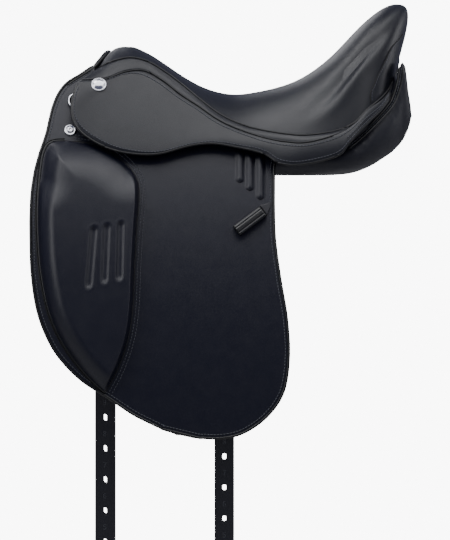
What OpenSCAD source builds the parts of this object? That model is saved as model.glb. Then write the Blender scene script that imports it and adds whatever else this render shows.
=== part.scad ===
// A dressage saddle of the English kind with a 17 inch seat, a spring tree and single flaps.
// X runs from the pommel to the cantle, Z is up, and the near side of the saddle is at -Y.
// The origin lies under the deepest point of the seat, level with the panels' bearing line.

/* [Seat] */
// Thickness of the seat leather
seat_leather_t = 3; // [2:0.5:4]
// Depth of the seat foam along the middle of the seat
foam_t = 20; // [14:1:22]
// Depth of the seat foam at the side seam
foam_edge_t = 8; // [6:0.5:10]
// Thickness of the tree's wooden rails
tree_t = 12; // [8:1:14]
// Thickness of the canvas stretched across the tree
canvas_t = 2; // [1:0.5:3]
// Thickness of the steel springs under the rails
spring_t = 1.5; // [1:0.25:2]
// Radius of the rolled edge across the front of the pommel
roll_r = 4; // [3:0.25:4.5]

/* [Side wall] */
// Half width of the saddle inside the flaps, at the height below
flap_half_w = 116; // [112:1:120]
// Height at which that half width is taken
flap_ref_z = 20; // [16:1:24]
// Lean of the flap from the vertical at that height, in degrees
flap_lean = 25; // [23:0.5:27]
// Radius of the flap's curve, seen from the front
flap_r = 1100; // [1000:20:1300]

/* [Flap and skirt] */
// Thickness of the flap leather
flap_t = 5; // [3.5:0.5:6]
// Thickness of the skirt
skirt_t = 6; // [4:0.5:8]
// Space between the flap and the lower edge of the skirt
skirt_gap = 9; // [8:0.5:12]
// Thickness of the side welt between the seat and the skirt
welt_t = 4; // [3:0.5:5]
// Gap along each line where the leather bends
bend_gap = 0.6; // [0.5:0.1:1]
// Height of the raised ribs on the flap
rib_h = 3; // [2:0.5:4]
// Radius of the raised ribs on the flap
rib_r = 4.5; // [4:0.25:5]

/* [Knee block] */
// Height of the knee block above the flap, along its front
block_front_h = 36; // [24:1:40]
// Height of the knee block above the flap, along its back
block_back_h = 13; // [10:1:18]
// Radius of the three grooves in the knee block
groove_r = 5; // [4:0.25:6]
// Depth of the three grooves in the knee block
groove_d = 3; // [2:0.25:3.5]

/* [Panel] */
// Thickness of the panel leather
panel_leather_t = 2.5; // [2:0.5:3.5]
// Half width of the channel between the panels
gullet_half_w = 32; // [29:1:34]
// Thickness of the lining over the channel
lining_t = 2; // [1.5:0.5:3]

/* [Billets] */
// Width of a billet
billet_w = 27; // [24:1:30]
// Thickness of a billet
billet_t = 3.6; // [3:0.2:4.4]
// How far each billet hangs outside the flap's inner half width
billet_out = 6; // [5:0.5:7]
// Height of the top of the billets
billet_top_z = -5; // [-10:1:-5]
// Length of a front billet, from its top to its tip
front_billet_l = 674; // [600:1:720]
// Length of a rear billet, from its top to its tip
rear_billet_l = 685; // [600:1:720]
// Distance between the holes of a billet
hole_pitch = 42.6; // [30:0.2:44]
// Width of a billet hole
hole_w = 6; // [5:0.2:7]
// Length of a billet hole
hole_l = 11; // [9:0.5:14]
// Number of holes in a billet
hole_count = 9; // [4:1:9]
// Distance from the billet's tip to its lowest hole
tip_to_hole = 48; // [40:1:60]
// Width of the webbing that the billets hang from
web_w = 32; // [28:1:36]
// Thickness of that webbing
web_t = 2.5; // [1.5:0.5:3]

/* [Stirrup bar] */
// Length of a stirrup bar, from its root to the catch
bar_l = 62; // [56:1:68]
// Height of a stirrup bar
bar_h = 13; // [11:0.5:15]
// Thickness of the bar that the stirrup leather hangs on
bar_run_t = 5.4; // [4.8:0.2:5.6]
// Thickness of the bar's back plate
bar_plate_t = 3.5; // [2.5:0.5:4]
// Space between the bar and its plate, for the stirrup leather
bar_gap = 8; // [6:0.5:8.5]
// Radius of the pin in the safety catch
catch_pin_r = 1.5; // [1:0.1:2]
// Length of the safety catch behind its pin
catch_l = 20; // [14:1:24]
// Radial clearance of the safety catch on its pin
pin_clear = 0.05; // [0.02:0.01:0.1]
// Radius of the rivets that hold the bars and the head plate
rivet_r = 2.5; // [2:0.25:3]

/* [Metal fittings] */
// Radius of the pommel nail's head
nail_r = 10.5; // [8:0.5:12]
// Height of the pommel nail's domed head
nail_h = 3.5; // [2.5:0.5:4.5]
// Radius of the stud above the knee block
stud_r = 8.3; // [6:0.1:9]
// Height of the stud's domed head
stud_h = 3.5; // [2.5:0.5:4.5]
// Radius of the front ring, at the middle of its wire
ring_r = 11; // [9:0.5:12]
// Radius of the front ring's wire
ring_wire_r = 1.75; // [1.5:0.05:1.9]
// Thickness of the leather chape that holds the front ring
chape_t = 1.5; // [1:0.25:1.75]
// Thickness of the steel head plate
head_plate_t = 4; // [3:0.5:5]

/* [Keeper] */
// Length of the strap keeper
keeper_l = 46; // [40:1:54]
// Width of the strap keeper
keeper_w = 16; // [12:0.5:20]
// Thickness of the keeper's leather
keeper_t = 2.5; // [2:0.5:3]
// Height of the space under the keeper
keeper_gap = 6; // [5:0.5:8]

/* [Hidden] */
$fn = 48;
clear = 0.3;
skin_gap = 0.1;

leather = [0.10, 0.10, 0.12];
wool = [0.85, 0.82, 0.75];
wood = [0.72, 0.56, 0.36];
metal = [0.72, 0.73, 0.75];

// The outlines below are drawn for this half width; the seat and panels go with the flaps when it changes
drawn_half_w = 116;
side_shift = flap_half_w - drawn_half_w;
side_scale = flap_half_w / drawn_half_w;
billet_y = flap_half_w + billet_out;

// The side wall is a cylinder along X: the flaps, skirts, blocks and bars all lie on it.
// An offset is measured outwards from the flap's inner face.
wall_cy = flap_half_w - flap_r * cos(flap_lean);
wall_cz = flap_ref_z - flap_r * sin(flap_lean);
function wall_y(z, off) = wall_cy + sqrt(pow(flap_r + off, 2) - pow(z - wall_cz, 2));
function wall_lean(z, off) = asin((z - wall_cz) / (flap_r + off));
function wall_point(p) = [p[0], wall_y(p[1], p[2]), p[1]];
function wall_normal(z, off) = let (a = wall_lean(z, off)) [0, cos(a), sin(a)];
wall_fn = 200;
// Farther than any part of the saddle
reach = 400;

// A smooth curve through the points p, at the parameter t from 0 to len(p) - 1
function curve(p, t) =
    let (n = len(p) - 1, i = max(0, min(floor(t), n - 1)), f = t - i,
         a = p[max(i - 1, 0)], b = p[i], c = p[i + 1], d = p[min(i + 2, n)])
    0.5 * (2 * b + (c - a) * f + (2 * a - 5 * b + 4 * c - d) * f * f + (3 * b - a - 3 * c + d) * f * f * f);
function smooth(p, per_span) = [for (t = steps(0, len(p) - 1, (len(p) - 1) * per_span)) curve(p, t)];
function steps(a, b, n) = [for (i = [0:n]) a + (b - a) * i / n];
function mix(a, b, f) = a + (b - a) * f;
// Height at x of the straight line through two XZ points
function line_z(a, b, x) = mix(a[1], b[1], (x - a[0]) / (b[0] - a[0]));
function flat(rows) = [for (r = rows) each r];
function total(v) = v * [for (i = v) 1];

// A closed solid from points and triangles, turned the right way out
module solid(points, faces) {
    volume = total([for (f = faces) cross(points[f[0]], points[f[1]]) * points[f[2]]]);
    polyhedron(points, volume > 0 ? [for (f = faces) [f[2], f[1], f[0]]] : faces);
}

// Triangles of a grid of m rows by n columns, whose rows may close on themselves
function grid(m, n, closed, start, turned) =
    [for (i = [0:m - 2], j = [0:closed ? n - 1 : n - 2])
        let (k = (j + 1) % n, a = start + i * n + j, b = start + i * n + k, c = a + n, d = b + n)
        each turned ? [[a, c, b], [b, c, d]] : [[a, b, c], [b, d, c]]];

// Triangles across a closed row of n points that is symmetric about its first point
function ladder(n, start, turned) =
    [for (i = [0:n / 2 - 1])
        let (a = start + i, b = start + i + 1, c = start + (n - i) % n, d = start + n - i - 1)
        each [for (f = i == 0 ? [[a, b, d]] : i == n / 2 - 1 ? [[a, b, c]] : [[a, b, c], [b, d, c]])
            turned ? [f[2], f[1], f[0]] : f]];

// A sheet between two open grids of points
module sheet(front, back) {
    m = len(front);
    n = len(front[0]);
    s = m * n;
    edge = [for (j = [0:n - 1]) j, for (i = [1:m - 1]) i * n + n - 1,
            for (j = [n - 2:-1:0]) (m - 1) * n + j, for (i = [m - 2:-1:1]) i * n];
    e = len(edge);
    rim = [for (k = [0:e - 1]) let (a = edge[k], b = edge[(k + 1) % e])
        each [[b, a, a + s], [b, a + s, b + s]]];
    solid(flat(concat(front, back)), concat(grid(m, n, false, 0, false), grid(m, n, false, s, true), rim));
}

// A domed shell between two grids of closed rows, each bridged across its last row
module dome(front, back) {
    m = len(front);
    k = len(back);
    n = len(front[0]);
    s = m * n;
    rim = [for (j = [0:n - 1]) let (a = j, b = (j + 1) % n) each [[b, a, a + s], [b, a + s, b + s]]];
    solid(flat(concat(front, back)),
        concat(grid(m, n, true, 0, false), ladder(n, s - n, false),
               grid(k, n, true, s, true), ladder(n, s + (k - 1) * n, true), rim));
}

// A closed band between two grids of closed rows, open in the middle
module band(front, back) {
    m = len(front);
    n = len(front[0]);
    s = m * n;
    rims = [for (j = [0:n - 1]) let (a = j, b = (j + 1) % n, c = s - n + j, d = s - n + b)
        each [[b, a, a + s], [b, a + s, b + s], [c, d, c + s], [d, d + s, c + s]]];
    solid(flat(concat(front, back)), concat(grid(m, n, true, 0, false), grid(m, n, true, s, true), rims));
}

// A solid lofted through closed sections, with a flat cap at each end
module loft(rings) {
    m = len(rings);
    n = len(rings[0]);
    mids = [for (r = [rings[0], rings[m - 1]]) [for (k = [0:2]) total([for (p = r) p[k]]) / n]];
    caps = [for (j = [0:n - 1]) let (b = (j + 1) % n)
        each [[b, j, m * n], [(m - 1) * n + j, (m - 1) * n + b, m * n + 1]]];
    solid(concat(flat(rings), mids), concat(grid(m, n, true, 0, false), caps));
}

// The off side is drawn, and the near side is its mirror image
module side(left) {
    if (left) mirror([0, 1, 0]) children();
    else children();
}

// Places a piece on the side wall, with its own X to the rear, Y down the wall and Z outwards
module on_wall(x, z, off) {
    translate([x, wall_y(z, off), z]) rotate([wall_lean(z, off) - 90, 0, 0]) children();
}

// What lies in the XZ outline, from the middle plane out to the offset wall on both sides
module arch(outline, off) {
    intersection() {
        rotate([90, 0, 0]) translate([0, 0, -reach]) linear_extrude(2 * reach) polygon(outline);
        intersection_for (left = [false, true])
            side(left) translate([-reach, wall_cy, wall_cz]) rotate([0, 90, 0])
                cylinder(r = flap_r + off, h = 2 * reach, $fn = wall_fn);
    }
}

// The space between the offset walls under a straight line through two XZ points, lowered by the drop
module under_line(a, b, drop, off) {
    arch([[-reach, line_z(a, b, -reach) - drop], [reach, line_z(a, b, reach) - drop],
          [reach, -reach], [-reach, -reach]], off);
}

// A layer of the side wall between two offsets, cut to an outline in the XZ plane
module wall_layer(outline, off0, off1) {
    intersection() {
        rotate([90, 0, 0]) translate([0, 0, -reach]) linear_extrude(reach) polygon(outline);
        translate([-reach, wall_cy, wall_cz]) rotate([0, 90, 0]) difference() {
            cylinder(r = flap_r + off1, h = 2 * reach, $fn = wall_fn);
            translate([0, 0, -1]) cylinder(r = flap_r + off0, h = 2 * reach + 2, $fn = wall_fn);
        }
    }
}

// A round-ended bar lying down the wall, used for the ribs and the grooves
module capsule(r, l) {
    rotate([-90, 0, 0]) cylinder(r = r, h = l);
    sphere(r);
    translate([0, l, 0]) sphere(r);
}

// A domed nail head, with its rim on the surface
module nail_head(r, h) {
    rim = 1;
    ball = (r * r + (h - rim) * (h - rim)) / (2 * (h - rim));
    intersection() {
        cylinder(r = r, h = h);
        translate([0, 0, h - ball]) sphere(ball, $fn = 96);
    }
}

// Seat seam from the front of the pommel round to the back of the cantle: x, y, z
seam_drawn = [
    [-169, 0, 171], [-176, 24, 166], [-187, 50, 149], [-172, 56, 156], [-146, 55, 162], [-122, 57, 157],
    [-98, 63, 143], [-75, 72, 126], [-50, 84, 105], [-26, 94, 86.5], [-4, 103, 74.5], [19, 111, 66],
    [44, 119.5, 60.5], [70, 128, 56.5], [97, 134, 55], [134, 136, 60], [161, 129, 71], [180, 117, 90],
    [200, 97, 107], [213, 69, 124], [221, 36, 146], [224, 0, 160]];
// Seat ridge opposite each seam point: x, z, squareness of the section, bulge past the seam
seat_ridge = [
    [-152, 177, 2, 2], [-152, 177.2, 2, 2], [-150, 177.2, 2, 2], [-147, 177, 2.2, 0], [-138, 175.8, 2.2, 0],
    [-118, 166.5, 2.2, 0], [-97, 153, 2.2, 0], [-74, 137.2, 2.3, 0], [-48, 122.3, 2.4, 0], [-23, 114, 2.5, 0],
    [0, 111, 2.6, 0], [24, 114, 2.8, 0], [48, 118.7, 3, 0], [75, 126.7, 3.2, 0], [101, 140, 3.3, 0],
    [131, 163.5, 3.5, 1], [155, 189, 3.6, 3], [175, 209.6, 3.6, 6], [196, 226.5, 3.4, 11], [210, 233.7, 3, 14],
    [218, 235.5, 2.6, 15], [221, 235.5, 2.3, 15]];
seat_seam = [for (p = seam_drawn) [p[0], p[1] * side_scale, p[2]]];
seam_end = len(seat_seam) - 1;
seat_half = 32;
spring_span = [8, 26];
welt_span = [3, 23];
seat_v = [0, 0.06, 0.14, 0.25, 0.4, 0.58, 0.78, 0.92];
// The same for the layers under the foam: the spring lies between two rows, the canvas starts at another
spring_v = [0.12, 0.3];
rail_v = concat([0], spring_v, [0.45]);
canvas_v = [0.46, 0.7, 0.92];
// Depth under the seam at which the bulge dies out
bulge_depth = 16;

// The outward direction of the seam in plan
function seam_out(t) =
    let (e = curve(seat_seam, min(t + 0.05, seam_end)) - curve(seat_seam, max(t - 0.05, 0)))
    t < 0.01 ? [-1, 0] : t > seam_end - 0.01 ? [1, 0] : [-e[1], e[0]] / norm([e[0], e[1]]);

// A point of the seat: t runs along the seam, and v from the seam up to the ridge.
// A deeper layer is inset from the seam, and lowered at the seam and at the ridge.
function seat_point(t, v, layer) =
    let (s = curve(seat_seam, t), r = curve(seat_ridge, t), out = seam_out(t),
         foot = [s[0], s[1]] - out * layer[0],
         bulge = r[3] * (1 - layer[0] / bulge_depth),
         xy = foot + ([r[0], 0] - foot) * v + out * bulge * 4 * v * (1 - v),
         z0 = s[2] - layer[1],
         z1 = r[1] - layer[2],
         middle = t < 0.01 || t > seam_end - 0.01)
    [xy[0], middle ? 0 : max(xy[1], 0.5), z0 + (z1 - z0) * (1 - pow(1 - v, r[2]))];
function seat_row(v, layer) =
    let (half = [for (t = steps(0, seam_end, seat_half)) seat_point(t, v, layer)])
    concat(half, [for (i = [seat_half - 1:-1:1]) [half[i][0], -half[i][1], half[i][2]]]);
// Some of the steps along the seam, from one number to another
function seam_steps(span) = [for (i = [span[0]:span[1]]) seam_end * i / seat_half];
function seat_rows(vs, layer) = [for (v = vs) seat_row(v, layer)];

// The layers under the seat: inset, drop at the seam, drop at the ridge
cover_in = [seat_leather_t, 0, seat_leather_t];
foam_out = cover_in + [skin_gap, 0, skin_gap];
foam_in = [foam_edge_t, foam_edge_t, seat_leather_t + foam_t];
tree_top = foam_in + [0, clear, clear];
tree_under = tree_top + [0, tree_t, tree_t];
spring_top = tree_under + [0, clear, clear];
spring_under = spring_top + [0, spring_t, spring_t];

module seat_cover() {
    color(leather) dome(seat_rows(seat_v, [0, 0, 0]), seat_rows(seat_v, cover_in));
}

module seat_foam() {
    color(wool) dome(seat_rows(seat_v, foam_out), seat_rows(concat(rail_v, canvas_v), foam_in));
}

module tree_rails() {
    color(wood) band(seat_rows(rail_v, tree_top), seat_rows(rail_v, tree_under));
}

module seat_canvas() {
    color(wool) dome(seat_rows(canvas_v, tree_top), seat_rows(canvas_v, tree_top + [0, canvas_t, canvas_t]));
}

// Each steel spring runs under a rail, from behind the head to the cantle
module spring(left) {
    ts = seam_steps(spring_span);
    color(metal) side(left)
        sheet([for (v = spring_v) [for (t = ts) seat_point(t, v, spring_top)]],
              [for (v = spring_v) [for (t = ts) seat_point(t, v, spring_under)]]);
}

// Skirt: its upper edge beside each seam point from number 2 on, as x, z and distance from the flap
skirt_top = [
    [-213, 129.5, 10], [-180, 131, 9.5], [-152, 141.5, 7], [-126, 143, 5.5], [-101, 130, 4.5], [-76, 110.5, 4],
    [-51, 94, 4], [-26, 76.5, 4.5], [-3, 65, 5.5], [20, 56.5, 8], [44, 49.5, 12], [70, 45, 17],
    [98, 44.5, 23], [137, 55, 29.5], [161.5, 69.5, 30.5], [180, 89, 28], [203, 105.5, 17], [214, 122.5, 4]];
// Skirt: its lower edge, as x, z and distance from the flap past the skirt gap
skirt_edge = [
    [-217, 126, 1], [-224.7, 101, 2], [-223, 76, 1], [-209, 56, 0], [-176, 37, 0], [-141, 29, 0],
    [-105, 29, 0], [-64, 39.7, 0], [-32, 43, 0], [1, 38, 0], [37, 29.5, 2], [60, 16, 4],
    [92, 14.5, 8], [138, 26, 17], [154, 43, 21], [172, 63, 19], [199, 90, 7], [212, 113, -3]];
skirt_first = 2;
skirt_end = len(skirt_top) - 1;
// The skirt's lower front lobe bends up along a straight line between two points of its edge
lobe_t = [0.95, 8.3];
lobe_bend = [[-224.7, 103, 2], [-22, 42.6, 0]];

function skirt_top_at(t) = curve(skirt_top, t) + [0, 0, flap_t];
function skirt_edge_at(t) = curve(skirt_edge, t) + [0, 0, flap_t + skirt_gap];
function lobe_bend_at(t) =
    mix(lobe_bend[0], lobe_bend[1], (t - lobe_t[0]) / (lobe_t[1] - lobe_t[0])) + [0, 0, flap_t + skirt_gap];
function in_lobe(t) = t > lobe_t[0] && t < lobe_t[1];
function skirt_low_at(t) = in_lobe(t) ? lobe_bend_at(t) + [0, bend_gap / 2, 0] : skirt_edge_at(t);

// A patch of the skirt from one edge to the other; thick is the distance from its inner face
function skirt_patch(highs, lows, thick, rows) =
    [for (i = [0:len(highs) - 1])
        [for (v = steps(0, 1, rows)) wall_point(mix(highs[i], lows[i], v) + [0, 0, thick])]];

module skirt(left) {
    ts = steps(0, skirt_end, 34);
    highs = [for (t = ts) skirt_top_at(t) - [0, clear, 0]];
    lows = [for (t = ts) skirt_low_at(t)];
    color(leather) side(left)
        sheet(skirt_patch(highs, lows, skirt_t, 4), skirt_patch(highs, lows, 0, 4));
}

module skirt_lobe(left) {
    ts = steps(lobe_t[0], lobe_t[1], 16);
    highs = [for (t = ts) lobe_bend_at(t) - [0, bend_gap / 2, 0]];
    lows = [for (t = ts) skirt_edge_at(t) - [0, bend_gap, 0]];
    color(leather) side(left)
        sheet(skirt_patch(highs, lows, skirt_t, 3), skirt_patch(highs, lows, 0, 3));
}

// The welt closes the side between the seat's seam and the top of the skirt
module welt(left) {
    ts = seam_steps(welt_span);
    tops = [for (t = ts) curve(seat_seam, t) - [0, 0, clear]];
    outs = [for (t = ts) seam_out(t)];
    feet = [for (t = ts) skirt_top_at(t - skirt_first) + [0, 2 * clear, skirt_t]];
    color(leather) side(left)
        sheet([for (i = [0:len(ts) - 1]) [tops[i], wall_point(feet[i])]],
              [for (i = [0:len(ts) - 1])
                  [tops[i] - seat_leather_t * [outs[i][0], outs[i][1], 0],
                   wall_point(feet[i] - [0, 0, welt_t])]]);
}

// Half of the rolled edge's path, from the middle of the pommel outwards: x, y, z
roll_drawn = [[-175, 0, 168.5], [-178, 16, 167], [-184.5, 32, 160], [-191.5, 44, 152], [-194, 48, 149]];
module pommel_roll() {
    half = [for (p = roll_drawn) [p[0], p[1] * side_scale, p[2]]];
    path = concat([for (i = [len(half) - 1:-1:1]) [half[i][0], -half[i][1], half[i][2]]], half);
    last = len(path) - 1;
    sides = 10;
    color(leather) loft([for (t = steps(0, last, 20))
        let (p = curve(path, t), d = curve(path, min(t + 0.05, last)) - curve(path, max(t - 0.05, 0)),
             u = [1, 0, 0] - d * d[0] / (d * d), a = u / norm(u), b = cross(d, a) / norm(d))
        [for (k = [0:sides - 1]) p + roll_r * (a * cos(360 * k / sides) + b * sin(360 * k / sides))]]);
}

// The flap is hinged to its head along a straight line across the saddle's side
hinge_front = [-262, 54.5];
hinge_rear = [53.5, 4];
flap_edge = [
    hinge_front, [-270, 31], [-277, 4], [-281, -23], [-282.5, -78], [-280.5, -135], [-272, -188], [-256, -229],
    [-237, -257], [-210, -283], [-176, -305], [-143, -327], [-99, -349], [-55, -360], [-20, -361],
    [12, -353], [44, -330], [66, -297], [73.5, -250], [71, -197], [62, -142], [55, -90], [53.4, -48],
    hinge_rear];
head_edge = [
    [-260.5, 60], [-257, 76], [-252, 96], [-243.5, 115], [-232, 128.5], [-216, 138], [-203, 146.5]];
head_inside = [
    [-200, 143], [-194, 133], [-189, 117], [-188, 96], [-184, 74], [-168, 54], [-140, 46], [-100, 46],
    [-60, 53], [-15, 55], [20, 46], [53.5, 34]];
// Upper end of each rib and how far down it runs: x, z, length
ribs = [[5.5, 34, 43], [19, 31, 51], [33, 28, 60]];

function hinge_z(x) = line_z(hinge_front, hinge_rear, x);

module flap(left) {
    color(leather) side(left) {
        wall_layer([for (p = smooth(flap_edge, 3)) [p[0], min(p[1], hinge_z(p[0])) - bend_gap / 2]], 0, flap_t);
        for (r = ribs) {
            top = hinge_z(r[0]) - rib_r;
            on_wall(r[0], top, flap_t + rib_h - rib_r) capsule(rib_r, r[2] - (r[1] - top));
        }
    }
}

module flap_head(left) {
    bend = [0, bend_gap / 2];
    outline = concat([hinge_front + bend], smooth(head_edge, 3), smooth(head_inside, 3), [hinge_rear + bend]);
    color(leather) side(left) {
        wall_layer(outline, 0, flap_t);
        for (r = ribs)
            on_wall(r[0], r[1], flap_t + rib_h - rib_r)
                capsule(rib_r, r[1] - hinge_z(r[0]) - rib_r - 2 * rib_h);
    }
}

// Knee block: its front edge and back edge, from the top seam down to the tip, in the XZ plane
block_front = [
    [-230, 47], [-252, 45], [-263, 33], [-268, 5], [-271, -40], [-270, -90], [-265, -140], [-254, -190],
    [-236, -230], [-211, -265], [-190, -287], [-178, -297]];
block_back = [
    [-230, 47], [-196, 42], [-170, 30], [-150, 14], [-136, -6], [-133, -30], [-136, -75], [-139, -130],
    [-141, -180], [-147, -222], [-160, -262], [-178, -297]];
block_end = len(block_front) - 1;
block_half = 22;
block_tip = 1.6;
block_gap = 0.4;
block_rim = 1.2;
block_v = [0, 0.05, 0.14, 0.3, 0.55, 0.8];
// Grooves: upper end x and z, length, height above the flap; and their tilt in degrees
grooves = [[-196, -80, 66, 29], [-177.5, -76, 65, 25.5], [-157.5, -73, 64, 22]];
groove_tilt = [4.5, 2, 1];

// Height of the block at a share v from its edge (0) to its middle line (1); back is 0 to 1 front to back
function block_h(v, back) =
    let (round_v = 0.42, e = min(v / round_v, 1))
    mix(block_front_h, block_back_h, back) * sqrt(1 - pow(1 - e, 2));
function block_point(t, v, is_back, up) =
    let (mid_t = mix(block_tip, block_end - block_tip, t / block_end),
         m = (curve(block_front, mid_t) + curve(block_back, mid_t)) / 2,
         p = mix(curve(is_back ? block_back : block_front, t), m, v),
         back = is_back ? 1 - v / 2 : v / 2,
         taper = min(1, 0.3 + 0.7 * min(t, block_end - t) / 2.5))
    wall_point([p[0], p[1], flap_t + block_gap + up * taper * block_h(v, back)]);
function block_rows(up) =
    [for (v = block_v)
        concat([for (t = steps(0, block_end, block_half)) block_point(t, v, false, up)],
               [for (i = [block_half - 1:-1:1]) block_point(block_end * i / block_half, v, true, up)])];

// A round-ended groove cutter with flat facets, as the block has
module groove(l) {
    hull() for (y = [0, l]) translate([0, y, 0]) sphere(groove_r, $fn = 14);
}

module knee_block(left) {
    front = block_rows(1);
    back = block_rows(0);
    // The rim of the block stands a little off the flap, so that its edge has a thickness
    lift = [for (row = front) [for (p = row) p + block_rim * wall_normal(p[2], flap_t)]];
    color(leather) side(left) difference() {
        dome(lift, back);
        for (i = [0:len(grooves) - 1]) {
            g = grooves[i];
            on_wall(g[0], g[1], flap_t + g[3] + groove_r - groove_d)
                rotate([0, 0, groove_tilt[i]]) groove(g[2]);
        }
    }
}

// Panel sections from front to rear: x, shift, mid height, half width, half thickness, roll in degrees
panel_stations = [
    [-228, -4, 22, 34, 5, 62], [-222, -19, 20, 52, 9, 62], [-200, -28, 16, 66, 12, 62],
    [-165, -26, 22, 64, 13, 60], [-125, -15, 34, 50, 15, 50], [-80, -6, 27, 40, 18, 32],
    [-40, -2, 23, 36, 20, 18], [10, 0, 22, 36.5, 21, 10], [60, 1, 22, 41, 21.5, 7], [110, 1, 22, 51, 21.5, 5],
    [140, 1, 22, 53, 21.5, 3], [165, 1, 29, 51, 26, 0], [188, 1, 47, 45, 35, 0], [206, 2, 63, 36, 39, 0],
    [216, 3, 77, 30, 45, 0], [223, 4, 91, 25, 50, 0], [228, 6, 104, 20, 57, 0], [232, 8, 93, 17, 40, 0],
    [237, 13, 88, 11, 22, 0], [240, 20, 87, 4, 8, 0]];
panel_sides = 16;
panel_square = 2.6;

function sign_pow(a, p) = sign(a) * pow(abs(a), p);
// A panel keeps to the channel at the rear, and goes with the flap where it lies along it, from a roll of 45
function panel_turn(s) = min(1, s[5] / 45);
function panel_half_w(s) = s[3] + side_shift * (1 - panel_turn(s)) / 2;
function panel_mid_y(s) = gullet_half_w + s[3] + s[1] + side_shift * (1 + panel_turn(s)) / 2;
function panel_at(s, inset, w) =
    let (a = max(panel_half_w(s) - inset, 1), b = max(s[4] - inset, 1),
         u = a * sign_pow(cos(w), 2 / panel_square), h = b * sign_pow(sin(w), 2 / panel_square))
    [s[0], panel_mid_y(s) + u * cos(s[5]) + h * sin(s[5]), s[2] - u * sin(s[5]) + h * cos(s[5])];
function panel_ring(s, inset) =
    [for (k = [0:panel_sides - 1]) panel_at(s, inset, 360 * (k + 0.5) / panel_sides)];

module panel_form(inset) {
    last = len(panel_stations) - 1;
    trim = inset > 0 ? 0.9 : 0;
    loft([for (t = steps(trim, last - trim, 28)) panel_ring(curve(panel_stations, t), inset)]);
}

module panel(left) {
    color(leather) side(left) difference() {
        panel_form(0);
        panel_form(panel_leather_t);
    }
}

module panel_flock(left) {
    color(wool) side(left) panel_form(panel_leather_t + skin_gap);
}

// The lining spans the channel between the panels' inner edges
lining_crown = 8;
lining_span = [2.2, 13];
module gullet_lining() {
    lips = [for (t = steps(lining_span[0], lining_span[1], 20))
        let (s = curve(panel_stations, t), a = panel_half_w(s))
        [s[0], panel_mid_y(s) - a * cos(s[5]) - 2 * clear, s[2] + a * sin(s[5])]];
    rows = [for (l = lips) [for (v = steps(-1, 1, 6)) [l[0], l[1] * v, l[2] + lining_crown * (1 - v * v)]]];
    color(leather) sheet([for (r = rows) [for (p = r) p + [0, 0, lining_t]]], rows);
}

// The facing closes the back between the panels, from the lining up to the seat's rim: its edge as x, the
// distance outside the channel and z, and how far its middle stands above and behind the edge
facing_edge = [[209, 1, 57, 8, 0], [214, 1, 80, 6, 1], [217.5, 1, 108, 7, 2], [219, 1, 130, 10, 2.5],
    [219, 11, 136, 20, 3]];
module rear_facing() {
    rows = [for (e = smooth(facing_edge, 2))
        let (half_w = gullet_half_w + e[1])
        [for (v = steps(-1, 1, 6)) [e[0] + e[4] * (1 - v * v), half_w * v, e[2] + e[3] * (1 - v * v)]]];
    color(leather) sheet(rows, [for (r = rows) [for (p = r) p - [lining_t, 0, 0]]]);
}

// The gusset closes the gap from the seat's lower edge to the top of the panel's back: where it runs along
// the seam, along the panel, and round the panel's section at its two faces
gusset_seam = [15.4, 17.5];
gusset_panel = [10.7, 12.7];
gusset_turn = [45, 52];
gusset_in = 0.8;
module gusset(left) {
    face = function (k) [for (f = steps(0, 1, 12))
        let (t = mix(gusset_seam[0], gusset_seam[1], f), out = seam_out(t), in = gusset_in + k * lining_t,
             s = curve(panel_stations, mix(gusset_panel[0], gusset_panel[1], f)))
        [curve(seat_seam, t) - [out[0] * in, out[1] * in, 3 * clear],
         panel_at(s, -2 * clear, gusset_turn[k])]];
    color(leather) side(left) sheet(face(0), face(1));
}

// Tree head: an arch of wood with two points, the steel plate inside it and the rivets through both
head_out = -7;
head_t = 9;
head_outline = [[-172, 122], [-92, 101], [-88, 84], [-92, 50], [-132, 44], [-142, 10], [-168, 6], [-176, 50]];
plate_outline = [[-166, 110], [-136, 102], [-136, 24], [-166, 24]];
head_rivet_at = [[-151, 34], [-151, 88]];
bar_x = -156;
bar_z = 60;
bar_rivet_at = [8, 50];

module tree_head() {
    color(wood) difference() {
        arch(head_outline, head_out);
        under_line(head_outline[0], head_outline[1], head_t, head_out - head_t);
        for (left = [false, true]) side(left) {
            rivet_holes(head_rivet_at);
            bar_rivet_pins();
        }
    }
}

// The front facing covers the head from the rolled edge of the pommel down both legs. Its outer edge runs up
// the flap's inside and on under the roll, its inner edge laps round the head and its plate.
facing_lap = 3;
facing_low_z = 9;
function head_front_x(z) = lookup(z, [for (i = [6, 7, 0]) [head_outline[i][1], head_outline[i][0]]]) - clear;
module front_facing() {
    deep = head_t + clear + head_plate_t + facing_lap;
    top_z = head_outline[0][1] - deep;
    leg = function (z, off) [head_front_x(z), wall_y(z, off), z];
    corner = leg(top_z, head_out - deep);
    mid_z = head_outline[7][1];
    below_roll = 1.6 * roll_r + clear;
    climb = function (z) concat(steps(facing_low_z, mid_z, 3), [for (f = [1:4]) mix(mid_z, z, f / 4)]);
    outer = concat([for (z = climb(head_outline[0][1] - clear)) leg(z, head_out - clear)],
        [for (t = steps(3, 0, 6)) let (p = curve(roll_drawn, t))
            [p[0], p[1] * side_scale, p[2] - below_roll]]);
    inner = concat([for (z = climb(top_z)) leg(z, head_out - deep)],
        [for (f = steps(1, 0, 6)) [corner[0], corner[1] * f, top_z]]);
    last = len(outer) - 1;
    half = [for (i = [0:last]) [for (f = steps(0, 1, 3)) mix(outer[i], inner[i], f)]];
    rows = concat([for (r = half) [for (p = r) [p[0], -p[1], p[2]]]], [for (i = [last - 1:-1:0]) half[i]]);
    color(leather) sheet([for (r = rows) [for (p = r) p - [lining_t, 0, 0]]], rows);
}

module rivet_holes(spots) {
    for (p = spots)
        on_wall(p[0], p[1], head_out - head_t - clear - head_plate_t)
            cylinder(r = rivet_r, h = head_t + clear + head_plate_t);
}

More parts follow.
